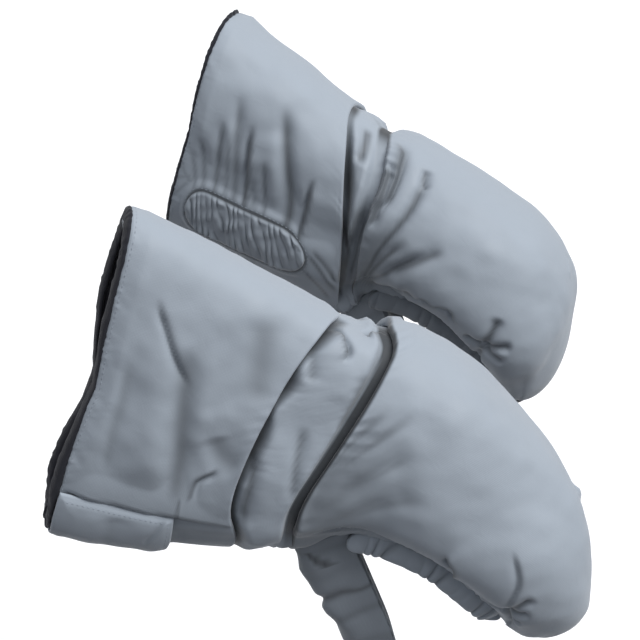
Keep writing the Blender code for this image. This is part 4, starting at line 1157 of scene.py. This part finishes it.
def tongue(mitt):
    """The padded tongue behind the handle tube, slack and creased across, with shade painted over all of it.
    """
    node = mitt.side + "_handle_tongue"
    down = np.array([0, math.sin(TUBE_LEAN), -math.cos(TUBE_LEAN)])
    back = np.array([0, -math.cos(TUBE_LEAN), -math.sin(TUBE_LEAN)])
    corners = np.array([tuple(v.co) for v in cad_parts[node].data.vertices])
    local = (corners - mitt.origin) @ mitt.axes.T
    depth_back, depth_down = local @ back, local @ down
    seat_far = depth_down[depth_back > depth_back.max() - 0.004].min()
    seat_near = depth_down[depth_back < depth_back.min() + 0.004].min()
    slope = (seat_far - seat_near) / np.ptp(depth_back)
    f = np.linspace(0, 1, 110)[:, None]
    past = np.clip(f - TONGUE_TAPER, 0, 1) / (1 - TONGUE_TAPER)
    tip = np.sqrt(1 - 0.75 * (np.clip(f - TONGUE_TIP, 0, 1) / (1 - TONGUE_TIP)) ** 2)
    turns = full_turn(72)[None]
    x = TONGUE_HALF_WIDTH * np.sqrt(1 - 0.8 * past**2) * tip * np.sin(turns)
    g = np.abs(np.sin(turns))
    near = np.sqrt(TONGUE_CLEARANCE**2 - x**2)
    swell = np.sqrt(1 - 0.98 * g**4) * np.interp(f, *TONGUE_FULL) * tip
    far = near + TONGUE_EDGE_THICKNESS + (TONGUE_THICKNESS - TONGUE_EDGE_THICKNESS) * swell
    rear = np.cos(turns) > 0
    blend = smooth(0.72, 1.0, g)
    away = np.where(rear, far, near) * (1 - blend) + (near + far) / 2 * blend
    fall = seat_near + slope * (away - depth_back.min()) + f * (TONGUE_LENGTH - 0.001)
    rings = x[..., None] * np.array([1, 0, 0]) + away[..., None] * back + fall[..., None] * down
    place = f + 0.05 * np.sin(turns) + 0.02 * smooth_field(rings, 0.03, 5)
    folds, painted_shade = np.zeros((2, *place.shape))
    # Shade painted into the folds across the tongue
    for at, depth, width in TONGUE_FOLDS:
        folds -= depth * MM * bell(place - at, width)
        painted_shade = np.maximum(painted_shade, min(1, depth / 4.5) * bell(place - at, 0.6 * width))
    sketch = np.stack(np.broadcast_arrays(np.cos(turns) * TONGUE_THICKNESS / 2, f * TONGUE_LENGTH), axis=-1)
    first, last = np.array(TONGUE_TUCK)
    share = np.clip((sketch - first) @ (last - first) / ((last - first) ** 2).sum(), 0, 1)
    from_tuck = np.linalg.norm(sketch - first - share[..., None] * (last - first), axis=-1)
    # A line of painted shade along the tuck
    tuck = bell(from_tuck, 0.0016) * (np.sin(turns) > 0)
    # Painted shade over the whole tongue, more in its folds
    painted_shade = np.maximum(TONGUE_SHADE + 0.5 * painted_shade, tuck)
    folds += 0.0008 * smooth_field(rings, 0.03, mitt.seed + 70)
    out = unit(rings - rings.mean(axis=1, keepdims=True))
    free = smooth(0.02, 0.1, f) * rear * (1 - blend)
    rings = rings + out * np.minimum(folds * free, 0.0008)[..., None]
    piece = ringed_body("tongue_cover", mitt, rings, painted_shade)
    dress(piece, mitt, "shell", "handle_tongue", body=None)
    sewn = rings[0].mean(axis=0)
    straight = (down - slope * back) / math.hypot(1, slope)
    start, end = mitt.world(np.array([sewn, sewn + TONGUE_BEND * straight]))
    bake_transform(piece)


def feed(tree, node, inputs):
    """Gives a node's inputs their values, or the sockets that they are linked to."""
    for name, value in inputs.items():
        if isinstance(value, bpy.types.NodeSocket):
            tree.links.new(value, node.inputs[name])
        else:
            node.inputs[name].default_value = value


def add_node(tree, kind, inputs=None, **settings):
    """A new shader node with its settings and inputs. What is returned are its outputs."""
    made = tree.nodes.new("ShaderNode" + kind)
    for name, value in settings.items():
        setattr(made, name, value)
    feed(tree, made, inputs or {})
    return made.outputs


def add_noise(tree, place, scale, detail, distortion=0.0):
    inputs = {"Scale": scale, "Detail": detail, "Distortion": distortion, "Vector": place["Object"]}
    return add_node(tree, "TexNoise", inputs)["Fac"]


def add_mix(tree, share, first, second):
    inputs = {"Factor": share, "A": first, "B": second}
    return add_node(tree, "Mix", inputs, data_type="RGBA")["Result"]


def fabric_material(name, colour, roughness, sheen, weave, mottle, fuzz):
    """Cloth: mottled colour, with shade painted into it from a point attribute, darkest in creases, grooves
    and shaded places, and a weave of crossed threads or a nap.
    """
    made = bpy.data.materials.new(name)
    made.use_nodes = True
    tree = made.node_tree
    surface = tree.nodes["Principled BSDF"]
    surface.inputs["Roughness"].default_value = roughness
    place = add_node(tree, "TexCoord")
    blotch = add_noise(tree, place, 38, 5)
    dark, light = ([min(1, c * (1 + step)) for c in colour] for step in (-mottle, mottle))
    tone = add_mix(tree, blotch, (*dark, 1), (*light, 1))
    low, high = roughness - 0.08, min(1, roughness + 0.08)
    spread = {"From Min": 0.3, "From Max": 0.7, "To Min": low, "To Max": high, "Value": blotch}
    # Painted shade: the colour is mixed towards a tenth of itself by this attribute
    painted_shade = add_node(tree, "Attribute", attribute_name="painted_shade")["Fac"]
    share = add_node(tree, "Math", {0: painted_shade, 1: 0.96}, operation="MULTIPLY")[0]
    if weave:
        threads = {"Scale": weave, "Distortion": 0.6, "Detail": 1, "Vector": place["UV"]}
        grain = [add_node(tree, "TexWave", threads, bands_direction=way)["Fac"] for way in ("X", "Y")]
    else:
        grain = [add_noise(tree, place, scale, 3) for scale in (420, 1100)]
    height = add_node(tree, "Math", dict(enumerate(grain)), operation="ADD")[0]
    slack = {"Strength": 0.16, "Distance": 0.0016, "Height": add_noise(tree, place, 85, 4, 0.8)}
    bump = {"Strength": 0.1 + fuzz, "Distance": 0.0004, "Height": height}
    bump["Normal"] = add_node(tree, "Bump", slack)["Normal"]
    cloth = {
        "Base Color": add_mix(tree, share, tone, (*[c * 0.1 for c in colour], 1)),
        "Roughness": add_node(tree, "MapRange", spread)["Result"],
        "Normal": add_node(tree, "Bump", bump)["Normal"],
        "Sheen Weight": sheen,
        "Sheen Roughness": 0.45,
        "Specular IOR Level": 0.35,
    }
    feed(tree, surface, cloth)
    return made


def carried_over(looks):
    """The small hard or hidden nodes stay, with better materials."""
    for name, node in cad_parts.items():
        if not node.hide_render:
            look = next((kind for kind in ("strip", "elastic") if kind in name), "snap")
            node.data.materials.clear()
            node.data.materials.append(looks[look])


def facing(way):
    """The rotation that turns an object's own Z this way."""
    return Vector(way).to_track_quat("Z", "Y").to_euler()


def camera():
    """The photograph's view: a long lens, a little to the front of the right mitt's outer side."""
    level = math.cos(VIEW_ELEVATION)
    across, along = math.sin(VIEW_AZIMUTH) * level, -math.cos(VIEW_AZIMUTH) * level
    lens = bpy.data.cameras.new("camera")
    made = placed("camera", lens)
    made.location = VIEW_PLACE
    made.rotation_euler = facing((across, along, math.sin(VIEW_ELEVATION)))
    lens.sensor_width = SENSOR_WIDTH
    lens.lens = FOCAL_PIXELS / PHOTO_PIXELS * SENSOR_WIDTH
    lens.clip_end = 30
    bpy.context.scene.camera = made


def camera_only(tree, seen, other, output):
    """Mixes two shaders, the first of them for camera, glossy and transmission rays."""
    path = add_node(tree, "LightPath")
    total = path["Is Camera Ray"]
    for name in ("Is Glossy Ray", "Is Transmission Ray"):
        total = add_node(tree, "Math", {0: total, 1: path[name]}, operation="MAXIMUM")[0]
    mix = add_node(tree, "MixShader", {0: total, 1: other, 2: seen})[0]
    feed(tree, tree.nodes[output], {"Surface": mix})


def studio():
    """A soft key from above, to the front and to the camera's side, a low fill, and a pale floor."""
    sun = bpy.data.lights.new("key", "SUN")
    sun.energy = KEY_STRENGTH
    sun.angle = KEY_SPREAD
    placed("key", sun).rotation_euler = facing(KEY_WAY)
    world = bpy.data.worlds.new("studio")
    world.use_nodes = True
    bpy.context.scene.world = world
    tree = world.node_tree
    fill = tree.nodes["Background"]
    feed(tree, fill, {"Color": (*FILL_COLOUR, 1), "Strength": FILL_STRENGTH})
    white = add_node(tree, "Background", {"Color": (1, 1, 1, 1)})
    camera_only(tree, white[0], fill.outputs[0], "World Output")
    mesh = bpy.data.meshes.new("floor")
    level, reach = CAD_BOX[0][2] - FLOOR_DROP, FLOOR_REACH
    corners = [(x * reach, y * reach, level) for x, y in ((-1, -1), (1, -1), (1, 1), (-1, 1))]
    mesh.from_pydata(corners, [], [(0, 1, 2, 3)])
    floor = placed("floor", mesh)
    pale = bpy.data.materials.new("pale_floor")
    pale.use_nodes = True
    tree = pale.node_tree
    surface = tree.nodes["Principled BSDF"]
    feed(tree, surface, {"Base Color": (0.85, 0.85, 0.85, 1), "Roughness": 0.9})
    glow = add_node(tree, "Emission", {"Strength": 0.25})
    both = add_node(tree, "AddShader", {0: surface.outputs[0], 1: glow[0]})
    dim = add_node(tree, "BsdfDiffuse", {"Color": (0.04, 0.04, 0.045, 1)})
    camera_only(tree, both[0], dim[0], "Material Output")
    mesh.materials.append(pale)


def main():
    looks = {look: fabric_material(*row) for look, row in FABRICS.items()}
    for side in SIDES:
        mitt = Mitt(side, looks)
        cuff(mitt)
        hand(mitt, band(mitt))
        lining(mitt)
        mouth_roll(mitt)
        flap(mitt)
        gathered_panel(mitt)
        rim_casing(mitt, "outer", 1)
        rim_casing(mitt, "inner", -1)
        tongue(mitt)
    carried_over(looks)
    camera()
    studio()
    bpy.context.scene.view_settings.view_transform = "Standard"


main()
